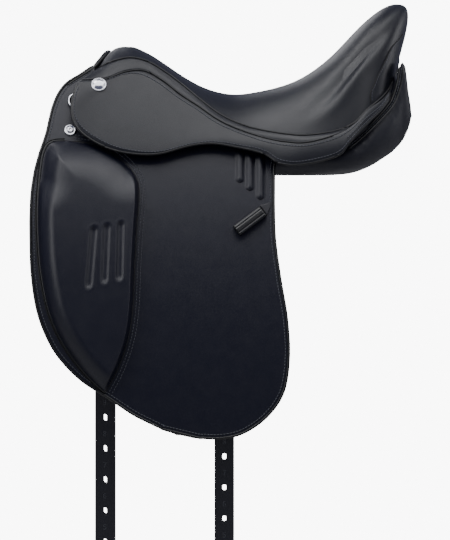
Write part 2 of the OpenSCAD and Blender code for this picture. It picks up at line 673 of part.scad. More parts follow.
module head_plate() {
    out = head_out - head_t - clear;
    color(metal) difference() {
        arch(plate_outline, out);
        under_line(plate_outline[0], plate_outline[1], head_plate_t, out - head_plate_t);
        for (left = [false, true]) side(left) rivet_holes(head_rivet_at);
    }
}

module head_rivets() {
    color(metal) for (left = [false, true]) side(left) rivet_holes(head_rivet_at);
}

// Stirrup bar: seen from above it is a hook that opens to the rear, closed there by the hinged catch
bar_off = head_out + 0.2;
run_z = bar_plate_t + bar_gap;
catch_x = bar_l - 5;
tongue_t = bar_run_t / 3;
catch_h = 8;
fork_play = 0.1;

module bar_rivet_pins() {
    for (x = bar_rivet_at)
        on_wall(bar_x + x, bar_z, bar_off)
            translate([0, 0, -head_t]) cylinder(r = rivet_r, h = head_t + bar_plate_t);
}

module bar_rivets() {
    color(metal) for (left = [false, true]) side(left) bar_rivet_pins();
}

module stirrup_bar(left) {
    root_l = 12;
    color(metal) side(left) difference() {
        on_wall(bar_x, bar_z, bar_off) difference() {
            translate([0, bar_h / 2, 0]) rotate([90, 0, 0]) linear_extrude(bar_h) {
                square([bar_l - 2, bar_plate_t]);
                square([root_l, run_z + bar_run_t]);
                translate([0, run_z]) square([catch_x - catch_h / 2 - 1, bar_run_t]);
                translate([0, run_z + tongue_t]) square([catch_x, tongue_t]);
            }
            for (y = [-1, 1])
                translate([catch_x - catch_h / 2 - 1, y * (bar_h + catch_h - 1) / 2, run_z + tongue_t / 2])
                    translate([0, -bar_h / 2, 0]) cube([bar_h, bar_h, tongue_t * 2]);
            translate([catch_x, 0, 0]) cylinder(r = catch_pin_r, h = run_z + bar_run_t + 1);
        }
        bar_rivet_pins();
    }
}

// The catch is a fork over the end of the bar, which swings up to let the stirrup leather off
module bar_catch(left) {
    color(metal) side(left) on_wall(bar_x, bar_z, bar_off) translate([catch_x, 0, run_z]) difference() {
        linear_extrude(bar_run_t) {
            circle(r = catch_h / 2);
            translate([0, -catch_h / 2]) square([catch_l - catch_h / 2, catch_h]);
            translate([catch_l - catch_h / 2, 0]) circle(r = catch_h / 2);
        }
        translate([0, 0, tongue_t - fork_play]) linear_extrude(tongue_t + 2 * fork_play)
            translate([-catch_h, -catch_h]) square([catch_h * 1.65, catch_h * 2]);
        translate([0, 0, -1]) cylinder(r = catch_pin_r + pin_clear, h = bar_run_t + 2);
    }
}

module catch_pin(left) {
    color(metal) side(left) on_wall(bar_x, bar_z, bar_off) translate([catch_x, 0, run_z])
        cylinder(r = catch_pin_r, h = bar_run_t);
}

// Front ring, held to the flap head by a folded chape
ring_x = -218;
ring_z = 102;
chape_hole_r = ring_wire_r + 0.8;
chape_w = 7;
chape_l = 18;
ring_off = flap_t + clear + chape_t + chape_hole_r;

module front_ring(left) {
    color(metal) side(left) on_wall(ring_x, ring_z, ring_off)
        rotate_extrude($fn = 64) translate([ring_r, 0]) circle(r = ring_wire_r, $fn = 24);
}

module ring_chape(left) {
    fold_r = chape_hole_r + chape_t;
    color(leather) side(left) on_wall(ring_x + ring_r, ring_z, ring_off)
        translate([0, chape_w / 2, 0]) rotate([90, 0, 0]) linear_extrude(chape_w) difference() {
            union() {
                circle(r = fold_r);
                translate([0, -fold_r]) square([chape_l, 2 * chape_t]);
            }
            circle(r = chape_hole_r);
        }
}

// Nails and studs
nail_x = -188;
nail_z = 123.7;
stud_x = -227;
stud_z = 61.2;

module pommel_nail(left) {
    color(metal) side(left) on_wall(nail_x, nail_z, flap_t + skirt_gap + 1 + skirt_t + clear)
        nail_head(nail_r, nail_h);
}

module flap_stud(left) {
    color(metal) side(left) on_wall(stud_x, stud_z, flap_t + clear / 2) nail_head(stud_r, stud_h);
}

// Keeper: a leather bridge on the flap, its ends sewn down, slanting up to the rear
keeper_x = 19;
keeper_z = -63;
keeper_tilt = -37;

module keeper(left) {
    color(leather) side(left) on_wall(keeper_x, keeper_z, flap_t + clear) rotate([0, 0, keeper_tilt])
        translate([-keeper_l / 2, keeper_w / 2, 0]) rotate([90, 0, 0]) linear_extrude(keeper_w) difference() {
            square([keeper_l, keeper_gap + keeper_t]);
            translate([keeper_t, -1]) square([keeper_l - 2 * keeper_t, keeper_gap + 1]);
        }
}

// Billets hang flat below their webs, which lie on the tree under the flap
front_billet_x = -179.5;
rear_billet_x = -16;
front_web_z = 59.5;
rear_web_z = 50;
web_lap = 35;

module web(left, x, top_z) {
    off = head_out + clear + web_t;
    face_y = billet_y - billet_t / 2 - clear;
    turn_z = wall_cz + sqrt(pow(flap_r + off, 2) - pow(face_y - wall_cy, 2));
    zs = steps(top_z, turn_z, 8);
    low_z = billet_top_z - web_lap;
    profile = concat(
        [for (z = zs) [wall_y(z, off), z]],
        [[face_y, low_z], [face_y - web_t, low_z]],
        [for (i = [len(zs) - 1:-1:0]) [wall_y(zs[i], off - web_t), zs[i]]]);
    color(wool) side(left) translate([x - web_w / 2, 0, 0])
        rotate([90, 0, 90]) linear_extrude(web_w) polygon(profile);
}

module billet(left, x, l) {
    tip_z = billet_top_z - l;
    tip_l = 22;
    half = billet_w / 2;
    color(leather) side(left) translate([x, billet_y + billet_t / 2, 0]) rotate([90, 0, 0])
        linear_extrude(billet_t) difference() {
            polygon(concat([[half, billet_top_z], [-half, billet_top_z]],
                [for (a = steps(180, 360, 16)) [half * cos(a), tip_z + tip_l + tip_l * sin(a)]]));
            for (k = [0:hole_count - 1])
                translate([0, tip_z + tip_to_hole + k * hole_pitch]) {
                    square([hole_w, hole_l - hole_w], center = true);
                    for (s = [-1, 1]) translate([0, s * (hole_l - hole_w) / 2]) circle(r = hole_w / 2);
                }
        }
}

tree_head();
tree_rails();
spring(true);  // spring_left
spring(false);  // spring_right
head_plate();
head_rivets();
seat_canvas();
seat_foam();
seat_cover();
pommel_roll();
gullet_lining();
rear_facing();
front_facing();
gusset(true);  // gusset_left
gusset(false);  // gusset_right
welt(true);  // welt_left
welt(false);  // welt_right
skirt(true);  // skirt_left
skirt(false);  // skirt_right
skirt_lobe(true);  // skirt_lobe_left
skirt_lobe(false);  // skirt_lobe_right
flap_head(true);  // flap_head_left
flap_head(false);  // flap_head_right
flap(true);  // flap_left
flap(false);  // flap_right
knee_block(true);  // knee_block_left
knee_block(false);  // knee_block_right
keeper(true);  // keeper_left
keeper(false);  // keeper_right
panel(true);  // panel_left
panel(false);  // panel_right
panel_flock(true);  // panel_flock_left
panel_flock(false);  // panel_flock_right
web(true, front_billet_x, front_web_z);  // web_front_left
web(false, front_billet_x, front_web_z);  // web_front_right
web(true, rear_billet_x, rear_web_z);  // web_rear_left
web(false, rear_billet_x, rear_web_z);  // web_rear_right
billet(true, front_billet_x, front_billet_l);  // billet_front_left
billet(false, front_billet_x, front_billet_l);  // billet_front_right
billet(true, rear_billet_x, rear_billet_l);  // billet_rear_left
billet(false, rear_billet_x, rear_billet_l);  // billet_rear_right
stirrup_bar(true);  // stirrup_bar_left
stirrup_bar(false);  // stirrup_bar_right
bar_catch(true);  // bar_catch_left
bar_catch(false);  // bar_catch_right
catch_pin(true);  // catch_pin_left
catch_pin(false);  // catch_pin_right
bar_rivets();
front_ring(true);  // front_ring_left
front_ring(false);  // front_ring_right
ring_chape(true);  // ring_chape_left
ring_chape(false);  // ring_chape_right
pommel_nail(true);  // pommel_nail_left
pommel_nail(false);  // pommel_nail_right
flap_stud(true);  // flap_stud_left
flap_stud(false);  // flap_stud_right
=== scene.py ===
import math
import bmesh
import bpy
import numpy as np
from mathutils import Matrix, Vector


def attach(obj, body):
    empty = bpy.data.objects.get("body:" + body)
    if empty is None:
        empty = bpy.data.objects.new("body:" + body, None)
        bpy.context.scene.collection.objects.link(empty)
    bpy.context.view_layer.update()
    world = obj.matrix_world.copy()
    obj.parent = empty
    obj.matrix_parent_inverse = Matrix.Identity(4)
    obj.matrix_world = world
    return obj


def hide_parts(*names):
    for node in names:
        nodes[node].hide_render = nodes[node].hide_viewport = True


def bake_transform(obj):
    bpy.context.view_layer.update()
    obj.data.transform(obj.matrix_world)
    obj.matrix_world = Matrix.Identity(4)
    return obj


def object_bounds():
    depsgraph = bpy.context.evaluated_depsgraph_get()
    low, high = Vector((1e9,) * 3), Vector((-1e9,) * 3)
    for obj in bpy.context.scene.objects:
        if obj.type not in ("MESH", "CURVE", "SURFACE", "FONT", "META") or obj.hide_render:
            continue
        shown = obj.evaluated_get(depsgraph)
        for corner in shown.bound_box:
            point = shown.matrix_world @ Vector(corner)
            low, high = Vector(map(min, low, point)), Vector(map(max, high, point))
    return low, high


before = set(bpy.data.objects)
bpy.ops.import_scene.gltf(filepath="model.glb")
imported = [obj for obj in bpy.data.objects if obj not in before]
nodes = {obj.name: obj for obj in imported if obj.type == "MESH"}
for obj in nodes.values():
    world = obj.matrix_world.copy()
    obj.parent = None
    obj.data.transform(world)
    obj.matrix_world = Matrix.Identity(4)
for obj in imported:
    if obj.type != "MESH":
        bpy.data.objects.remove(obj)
cadLow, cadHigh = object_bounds()
sides = {"left": -1, "right": 1}
print("frame loaded:", len(nodes), "solids")

# Everything is worked out in millimetres in the solids' frame: x to the cantle, z up, near side at -y.
wall = {"radius": 1100, "halfWidth": 116, "refZ": 20, "lean": 25}
wallCy = wall["halfWidth"] - wall["radius"] * math.cos(math.radians(wall["lean"]))
wallCz = wall["refZ"] - wall["radius"] * math.sin(math.radians(wall["lean"]))


# The side wall is a cylinder along x; off is the distance outwards from the flap's inner face.
def wallPoint(x, z, off):
    y = wallCy + np.sqrt((wall["radius"] + off) ** 2 - (z - wallCz) ** 2)
    return np.stack(np.broadcast_arrays(x, y, z), axis=-1)


def wallNormal(z, off):
    s = (z - wallCz) / (wall["radius"] + off)
    return np.stack(np.broadcast_arrays(0.0 * s, np.sqrt(1 - s * s), s), axis=-1)


# Points of x and z laid on the side wall
def onWall(p, off):
    return wallPoint(p[..., 0], p[..., 1], off)


# Smooth curve through points, at t from 0 to their number less one (cubic, through each point)
def curve(points, t):
    p = np.asarray(points, float)
    t = np.asarray(t, float)
    last = len(p) - 1
    i = np.clip(np.floor(t).astype(int), 0, last - 1)
    f = (t - i)[..., None]
    a, b, c, d = p[np.maximum(i - 1, 0)], p[i], p[i + 1], p[np.minimum(i + 2, last)]
    square, cube = 2 * a - 5 * b + 4 * c - d, 3 * b - a - 3 * c + d
    return 0.5 * (2 * b + (c - a) * f + square * f ** 2 + cube * f ** 3)


def spread(points, count):
    return curve(points, np.linspace(0, len(points) - 1, count))


# The same curve with its points at equal distances along it
def evenly(points, gap):
    fine = spread(points, 40 * len(points))
    run = np.concatenate([[0], np.cumsum(np.linalg.norm(np.diff(fine, axis=0), axis=1))])
    at = np.linspace(0, run[-1], max(int(run[-1] / gap), 2) + 1)
    return np.stack([np.interp(at, run, fine[:, k]) for k in range(fine.shape[1])], axis=-1)


def step(a, b, x):
    f = np.clip((x - a) / (b - a), 0, 1)
    return f * f * (3 - 2 * f)


# Rises from 0 to 1 between the first two values and falls back between the last two
def between(span, x):
    return step(span[0], span[1], x) * (1 - step(span[2], span[3], x))


def unit(v):
    return v / np.maximum(np.linalg.norm(v, axis=-1, keepdims=True), 1e-9)


# Directions square to a line of x and z, to the left of its run
def squareTo(line):
    return unit(np.stack([-np.gradient(line[:, 1]), np.gradient(line[:, 0])], axis=1))


# Four-cornered faces of a grid of rows by columns, whose columns may close into a ring
def gridFaces(rows, cols, ring=False):
    i, j = np.meshgrid(np.arange(rows - 1), np.arange(cols if ring else cols - 1), indexing="ij")
    k = (j + 1) % cols
    corners = [i * cols + j, i * cols + k, (i + 1) * cols + k, (i + 1) * cols + j]
    return np.stack(corners, axis=-1).reshape(-1, 4)


# Points and faces of a grid whose columns close into a ring
def ringed(rows):
    return rows.reshape(-1, 3), gridFaces(len(rows), rows.shape[1], True)


# Normals of a grid of points, from its two directions
def gridNormals(p):
    return unit(np.cross(np.gradient(p, axis=1), np.gradient(p, axis=0)))


# A leaf with two faces: its rim is a half round from one face to the other, bulging outwards
def leaf(outer, inner, bulge, arcs=4):
    rows, cols = outer.shape[:2]
    down, along = np.arange(rows), np.arange(cols)
    i = np.concatenate([0 * along, down[1:], 0 * along[1:] + rows - 1, down[-2:0:-1]])
    j = np.concatenate([along, 0 * down[1:] + cols - 1, along[-2::-1], 0 * down[1:-1]])
    inI, inJ = np.clip(i, 1, rows - 2), np.clip(j, 1, cols - 2)
    out = unit(outer[i, j] - outer[inI, inJ])
    mid, half = (outer[i, j] + inner[i, j]) / 2, (outer[i, j] - inner[i, j]) / 2
    arc = (np.pi * np.arange(1, arcs) / arcs)[:, None, None]
    rim = (mid + half * np.cos(arc) + out * bulge * np.sin(arc)).reshape(-1, 3)
    n, loop = rows * cols, i * cols + j
    k = len(loop)
    rings = [loop] + [2 * n + a * k + np.arange(k) for a in range(arcs - 1)] + [n + loop]
    bands = [np.stack([a, b, np.roll(b, -1), np.roll(a, -1)], axis=-1) for a, b in zip(rings[:-1], rings[1:])]
    face = gridFaces(rows, cols)
    points = np.concatenate([outer.reshape(-1, 3), inner.reshape(-1, 3), rim])
    return points, np.concatenate([face, face[:, ::-1] + n] + bands)


# A round cord carried along a path, closed at both ends by rings that shrink to a point
def tube(path, radius, count=10):
    d = unit(np.gradient(path, axis=0))
    flat = np.where(np.abs(d[:, :1]) > 0.9, [[0.0, 1, 0]], [[1.0, 0, 0]])
    u = unit(np.cross(d, np.cross(flat, d)))
    w = np.cross(d, u)
    size = np.broadcast_to(np.asarray(radius, float), (len(path),))
    a = 2 * np.pi * np.arange(count) / count
    ring = u[:, None] * np.cos(a)[:, None] + w[:, None] * np.sin(a)[:, None]
    body = path[:, None] + size[:, None, None] * ring
    shrink = np.concatenate([[0, 0.6], np.ones(len(path)), [0.6, 0]])
    reach = np.concatenate([[-1, -0.8], np.zeros(len(path)), [0.8, 1]])
    rows, core, run, thick = (np.concatenate([k[[0, 0]], k, k[[-1, -1]]]) for k in (body, path, d, size))
    along = run * thick[:, None]
    rows = core[:, None] + (rows - core[:, None]) * shrink[:, None, None] + (along * reach[:, None])[:, None]
    return ringed(rows)


# Sewing thread: short round-ended grains of thread along a path, each partly sunk into the leather
def stitches(path, normal, gap=4.4, length=3.2, radius=0.55, lift=0.25):
    fine = np.concatenate([path, np.broadcast_to(normal, path.shape)], axis=1)
    p = evenly(fine, gap)
    mid = (p[1:, :3] + p[:-1, :3]) / 2
    d = unit(p[1:, :3] - p[:-1, :3])
    n = unit(p[1:, 3:] + p[:-1, 3:])
    n = unit(n - d * np.sum(n * d, axis=1, keepdims=True))
    b = np.cross(d, n)
    along = np.array([-1, -0.8, 0.8, 1]) * length / 2
    size = np.array([0.3, 1, 1, 0.3]) * radius
    a = 2 * np.pi * np.arange(6) / 6
    ring = n[:, None, None] * np.cos(a)[:, None] + b[:, None, None] * np.sin(a)[:, None]
    centre = (mid + n * lift)[:, None, None]
    grains = centre + d[:, None, None] * along[:, None, None] + ring * size[:, None, None]
    caps = np.array([[0, 5, 4, 3], [0, 3, 2, 1], [18, 19, 20, 21], [18, 21, 22, 23]])
    one = np.concatenate([gridFaces(4, 6, True), caps])
    faces = (one[None] + 24 * np.arange(len(mid))[:, None, None]).reshape(-1, 4)
    return grains.reshape(-1, 3), faces


# A sewn seam: a near-black cord laid along it as painted shade of the groove where the leather is drawn in,
# under a row of stitches
def seam(path, normal, radius=0.7):
    normal = np.broadcast_to(normal, path.shape)
    # the tube is the painted shade of the seam's groove, the stitches are the thread
    return tube(evenly(path - 0.25 * normal, 3), radius, 6), stitches(path, normal)


# A turned form: a profile of radius and height, spun about the outward direction at a place on the side wall
def turned(x, z, off, profile, radius, height, count=48):
    middle, n = wallPoint(np.array(x), np.array(z), off), wallNormal(np.array(z), off)
    a = 2 * np.pi * np.arange(count) / count
    spin = np.outer(np.cos(a), [1, 0, 0]) + np.outer(np.sin(a), np.cross(n, [1, 0, 0]))
    r, h = spread(profile, 60).T
    rings = middle + (radius * np.maximum(r, 0))[:, None, None] * spin + (height * h)[:, None, None] * n
    foot = middle + 0 * rings[:1]
    return ringed(np.concatenate([foot, rings]))


def mirror(part, side):
    points, faces = part
    return (points * [1, -1, 1], faces[:, ::-1]) if side == "left" else part


# Puts points and four-cornered faces into a mesh object, in metres, with its faces turned outwards
def makePiece(name, parts, material, weld=0.0, smooth=True):
    starts = np.cumsum([0] + [len(p) for p, f in parts[:-1]])
    points = np.concatenate([p for p, f in parts]) / 1000
    faces = np.concatenate([f + s for (p, f), s in zip(parts, starts)])
    mesh = bpy.data.meshes.new(name)
    mesh.vertices.add(len(points))
    mesh.vertices.foreach_set("co", points.ravel())
    mesh.loops.add(4 * len(faces))
    mesh.loops.foreach_set("vertex_index", faces.ravel().astype(np.int32))
    mesh.polygons.add(len(faces))
    mesh.polygons.foreach_set("loop_start", 4 * np.arange(len(faces), dtype=np.int32))
    mesh.update(calc_edges=True)
    work = bmesh.new()
    work.from_mesh(mesh)
    bmesh.ops.remove_doubles(work, verts=work.verts, dist=max(weld, 0.002) / 1000)
    bmesh.ops.recalc_face_normals(work, faces=work.faces)
    work.to_mesh(mesh)
    work.free()
    mesh.polygons.foreach_set("use_smooth", np.full(len(mesh.polygons), smooth))
    mesh.materials.append(material)
    piece = bpy.data.objects.new(name, mesh)
    bpy.context.scene.collection.objects.link(piece)
    return piece


# A piece of one side, from parts worked out for the right side
def makeSided(name, side, parts, material, weld=0.0):
    return makePiece(f"{name}_{side}", [mirror(part, side) for part in parts], material, weld)


def srgb(code):
    parts = [int(code[k:k + 2], 16) / 255 for k in (1, 3, 5)]
    return tuple(p / 12.92 if p <= 0.04045 else ((p + 0.055) / 1.055) ** 2.4 for p in parts) + (1,)


# Adds one node: settings go on the node, values and links on its input sockets
def addNode(tree, kind, settings=None, **inputs):
    node = tree.nodes.new(kind)
    for key, value in (settings or {}).items():
        setattr(node, key, value)
    for key, value in inputs.items():
        byNumber = key[0] == "i" and key[1:].isdigit()
        socket = node.inputs[int(key[1:]) if byNumber else key.replace("_", " ")]
        if isinstance(value, bpy.types.NodeSocket):
            tree.links.new(value, socket)
        else:
            socket.default_value = value
    return node


def newMaterial(name):
    material = bpy.data.materials.new(name)
    material.use_nodes = True
    tree = material.node_tree
    place = addNode(tree, "ShaderNodeTexCoord").outputs["Object"]
    return material, tree, tree.nodes["Principled BSDF"], place


# Drum-dyed saddle leather, waxed: near black, its grain pressed flat, with soft broad highlights, slightly
# uneven wax and shallow creases. The pores are about 1.6 mm apart, drawn larger than life so that they show.
def leather(name, dark, pale, rough, grainMm=1.6, grainDepth=0.06, creaseMm=26, creaseDepth=0.12,
            patchMm=45, waxMm=18):
    material, tree, shader, place = newMaterial(name)
    patch = addNode(tree, "ShaderNodeTexNoise", Vector=place, Scale=1000 / patchMm, Detail=3.0,
                    Roughness=0.55)
    tone = addNode(tree, "ShaderNodeMix", {"data_type": "RGBA"}, Factor=patch.outputs["Fac"],
                   i6=srgb(dark), i7=srgb(pale))
    wax = addNode(tree, "ShaderNodeTexNoise", Vector=place, Scale=1000 / waxMm, Detail=4.0, Roughness=0.6)
    gloss = addNode(tree, "ShaderNodeMapRange", Value=wax.outputs["Fac"], i1=0.3, i2=0.7,
                    i3=rough[0], i4=rough[1])
    grain = addNode(tree, "ShaderNodeTexVoronoi", {"feature": "DISTANCE_TO_EDGE"}, Vector=place,
                    Scale=1000 / grainMm)
    pores = addNode(tree, "ShaderNodeMapRange", Value=grain.outputs["Distance"], i1=0.0, i2=0.25,
                    i3=0.0, i4=1.0)
    crease = addNode(tree, "ShaderNodeTexNoise", Vector=place, Scale=1000 / creaseMm, Detail=2.0,
                     Roughness=0.4)
    broad = addNode(tree, "ShaderNodeBump", Height=crease.outputs["Fac"], Strength=1.0,
                    Distance=creaseDepth / 1000)
    bump = addNode(tree, "ShaderNodeBump", Height=pores.outputs["Result"], Strength=1.0,
                   Distance=grainDepth / 1000, Normal=broad.outputs["Normal"])
    tree.links.new(tone.outputs[2], shader.inputs["Base Color"])
    tree.links.new(gloss.outputs["Result"], shader.inputs["Roughness"])
    tree.links.new(bump.outputs["Normal"], shader.inputs["Normal"])
    shader.inputs["IOR"].default_value = 1.5
    return material


seatLeather = leather("Calf_leather_seat", "#0e1018", "#10121a", (0.36, 0.42))
flapLeather = leather("Saddle_leather_flap", "#080a1a", "#0a0c1c", (0.35, 0.41))
blockLeather = leather("Calf_leather_block", "#080a1a", "#0a0c1c", (0.35, 0.41))
panelLeather = leather("Soft_leather_panel", "#0b0d1a", "#0d0f1c", (0.45, 0.55), creaseDepth=0.2)
strapLeather = leather("Bridle_leather_strap", "#1a1a20", "#212127", (0.42, 0.52), grainDepth=0.04)
pipingLeather = leather("Calf_leather_piping", "#08090a", "#0d0e10", (0.32, 0.42), grainDepth=0.03)


# Waxed polyester thread, twisted, coloured grey with paler twist bands as a painted glint, with a slight
# sheen; and a near-black cord laid in the seams as painted shade of their grooves
def threadMaterial(name, dark, pale):
    material, tree, shader, place = newMaterial(name)
    twist = addNode(tree, "ShaderNodeTexWave", {"wave_type": "BANDS", "bands_direction": "DIAGONAL"},
                    Vector=place, Scale=1000 / 2.5)
    tone = addNode(tree, "ShaderNodeMix", {"data_type": "RGBA"}, Factor=twist.outputs["Fac"],
                   i6=srgb(dark), i7=srgb(pale))
    tree.links.new(tone.outputs[2], shader.inputs["Base Color"])
    shader.inputs["Roughness"].default_value = 0.6
    return material


# the thread's grey and its paler twist bands are a painted glint: the thread itself is near black
thread = threadMaterial("Waxed_thread_painted_glint", "#30333b", "#62656e")
# near-black cord for the seams, put where there is only the shade of their grooves: painted shade
paintedSeamShade = threadMaterial("Painted_seam_shade", "#020203", "#050507")
numberInk = threadMaterial("Stamped_number", "#3a3b40", "#55575e")


# Steel: the forged kind is tumbled grey with a fine grit, the polished kind is bright and nearly smooth
def steel(name, colour, rough, gritMm, gritDepth):
    material, tree, shader, place = newMaterial(name)
    grit = addNode(tree, "ShaderNodeTexNoise", Vector=place, Scale=1000 / gritMm, Detail=3.0)
    gloss = addNode(tree, "ShaderNodeMapRange", Value=grit.outputs["Fac"], i1=0.3, i2=0.7,
                    i3=rough[0], i4=rough[1])
    bump = addNode(tree, "ShaderNodeBump", Height=grit.outputs["Fac"], Strength=1.0,
                   Distance=gritDepth / 1000)
    tree.links.new(gloss.outputs["Result"], shader.inputs["Roughness"])
    tree.links.new(bump.outputs["Normal"], shader.inputs["Normal"])
    shader.inputs["Base Color"].default_value = srgb(colour)
    shader.inputs["Metallic"].default_value = 1.0
    return material


forgedSteel = steel("Forged_steel", "#8b8d90", (0.36, 0.5), 1.4, 0.06)
polishedSteel = steel("Polished_stainless_steel", "#d9dade", (0.12, 0.22), 2.0, 0.01)


# Linen webbing: a plain weave of undyed yarn, 1.6 mm a thread, with a hairy matt surface
def weave(name, dark, pale, threadMm):
    material, tree, shader, place = newMaterial(name)
    warp, weft = (addNode(tree, "ShaderNodeTexWave", {"bands_direction": way}, Vector=place,
                          Scale=1000 / threadMm / 6.28, Distortion=0.6) for way in "XZ")
    both = addNode(tree, "ShaderNodeMath", {"operation": "MULTIPLY"}, i0=warp.outputs["Fac"],
                   i1=weft.outputs["Fac"])
    tone = addNode(tree, "ShaderNodeMix", {"data_type": "RGBA"}, Factor=both.outputs["Value"],
                   i6=srgb(dark), i7=srgb(pale))
    bump = addNode(tree, "ShaderNodeBump", Height=both.outputs["Value"], Strength=1.0, Distance=0.0004)
    tree.links.new(tone.outputs[2], shader.inputs["Base Color"])
    tree.links.new(bump.outputs["Normal"], shader.inputs["Normal"])
    shader.inputs["Roughness"].default_value = 0.9
    return material


linen = weave("Linen_webbing", "#8f8468", "#c9bd9c", 1.6)


# Laminated beech: pale straight grain along the rails, 3 mm a ring, under a thin size
def beechMaterial():
    material, tree, shader, place = newMaterial("Laminated_beech")
    rings = addNode(tree, "ShaderNodeTexWave", {"bands_direction": "Z"}, Vector=place, Scale=1000 / 3 / 6.28,
                    Distortion=2.5, Detail=3.0)
    tone = addNode(tree, "ShaderNodeMix", {"data_type": "RGBA"}, Factor=rings.outputs["Fac"],
                   i6=srgb("#b98d5c"), i7=srgb("#d6b07d"))
    tree.links.new(tone.outputs[2], shader.inputs["Base Color"])
    shader.inputs["Roughness"].default_value = 0.55
    return material


beech = beechMaterial()
print("materials made")

# The seat: t runs along the seam from the pommel's front to the cantle's back, v from the seam to the ridge.
# A point goes straight from seam to ridge in plan, bulging outwards by 4v(1-v), and rises by 1-(1-v)^power.
# On the cantle, over squareSpan, both halves leave the ridge square to it, so no crease runs along it.
seat = {
    "seam": [
        [-169, 0, 171], [-176, 24, 166], [-187, 50, 149], [-172, 56, 156], [-146, 55, 162], [-122, 57, 157],
        [-98, 63, 143], [-75, 72, 126], [-50, 84, 105], [-26, 94, 86.5], [-4, 103, 74.5], [19, 111, 66],
        [44, 119.5, 60.5], [70, 128, 56.5], [97, 134, 55], [134, 136, 60], [161, 129, 71], [180, 117, 90],
        [200, 97, 107], [213, 69, 124], [221, 36, 146], [224, 0, 160]],
    "ridge": [
        [-152, 177, 2, 2], [-152, 177.2, 2, 2], [-150, 177.2, 2, 2], [-147, 177, 2.2, 0],
        [-138, 175.8, 2.2, 0], [-118, 166.5, 2.2, 0], [-97, 153, 2.2, 0], [-74, 137.2, 2.3, 0],
        [-48, 122.3, 2.4, 0], [-23, 114, 2.5, 0], [0, 111, 2.6, 0], [24, 114, 2.8, 0],
        [48, 118.7, 3, 0], [75, 126.7, 3.2, 0], [101, 140, 3.3, 0], [131, 163.5, 3.5, 1],
        [155, 189, 3.6, 3], [175, 209.6, 3.6, 6], [196, 226.5, 3.4, 11], [210, 233.7, 3, 14],
        [218, 235.5, 2.6, 15], [221, 235.5, 2.3, 15]],
    "steps": 190, "rows": 46, "leather": 3, "lip": 1.2, "bulgeDepth": 16, "squareSpan": [8, 10, 18.5, 20.5],
    # the side panel's roll and the groove above it: t and share of the height from seam to ridge
    "roll": [[13.4, 0.05], [14.4, 0.21], [14.8, 0.34], [15.25, 0.44], [15.7, 0.51], [16.25, 0.555],
             [16.84, 0.593], [17.3, 0.662], [17.6, 0.71], [17.92, 0.757], [19, 0.86]],
    "groove": [[13.4, 0.2], [14.4, 0.36], [15.25, 0.57], [15.7, 0.635], [16.26, 0.667], [16.85, 0.683],
               [17.36, 0.708], [17.73, 0.734], [18.08, 0.767], [19, 0.88]],
    "rollHeight": 5.0, "rollReach": 16, "grooveDepth": 8.0, "grooveReach": 13,
    "rollSpan": [13.8, 15.2, 18.1, 19.2], "even": 3.2, "evenFrom": [5, 8],
    # seam that closes the cantle's back: t and v
    "facing": [[19.62, 0.265], [19.03, 0.234], [18.49, 0.204], [18.09, 0.15], [17.74, 0.108], [17.51, 0.086],
               [17.36, 0.064], [17.18, 0.046], [17.2, 0.014]],
    # facing cord: radius of the near-black cord that paints the shade along the cantle's seam
    "cord": 1.6, "facingShade": 0.8, "sewnBeside": 0.09,
}
seamEnd = len(seat["seam"]) - 1


def seamOut(t):
    e = curve(seat["seam"], np.minimum(t + 0.05, seamEnd)) - curve(seat["seam"], np.maximum(t - 0.05, 0))
    out = unit(np.stack([-e[..., 1], e[..., 0]], axis=-1))
    out = np.where((t < 0.01)[..., None], [-1.0, 0.0], out)
    return np.where((t > seamEnd - 0.01)[..., None], [1.0, 0.0], out)


# Half of a seat layer as a grid of v rows by t columns, inset and lowered at the seam and at the ridge
def seatHalf(t, v, inset=0.0, seamDrop=0.0, ridgeDrop=0.0):
    s, r, out = curve(seat["seam"], t), curve(seat["ridge"], t), seamOut(t)
    v = v[:, None]
    foot = s[:, :2] - out * inset
    bulge = r[:, 3] * (1 - inset / seat["bulgeDepth"]) * 4 * v * (1 - v)
    square = between(seat["squareSpan"], t)
    u = 1 - v
    lean = u + square * (u * u * (3 - 2 * u) - u)
    bulgeX = bulge * (1 + square * (1.6 * u - 1) * (u < 0.625))
    x = foot[:, 0] * lean + r[:, 0] * (1 - lean) + out[:, 0] * bulgeX
    y = foot[:, 1] * (1 - v) + out[:, 1] * bulge
    z0, z1 = s[:, 2] - seamDrop, r[:, 1] - ridgeDrop
    share = 1 - (1 - v) ** np.maximum(r[:, 2], 1.5)
    y = np.where((t < 0.01) | (t > seamEnd - 0.01), 0, np.maximum(y, 0) * (v < 0.9999))
    return np.stack([x, y, z0 + (z1 - z0) * share], axis=-1), share, z1 - z0


def bothHalves(half):
    return np.concatenate([half, (half * [1, -1, 1])[:, -2:0:-1]], axis=1)


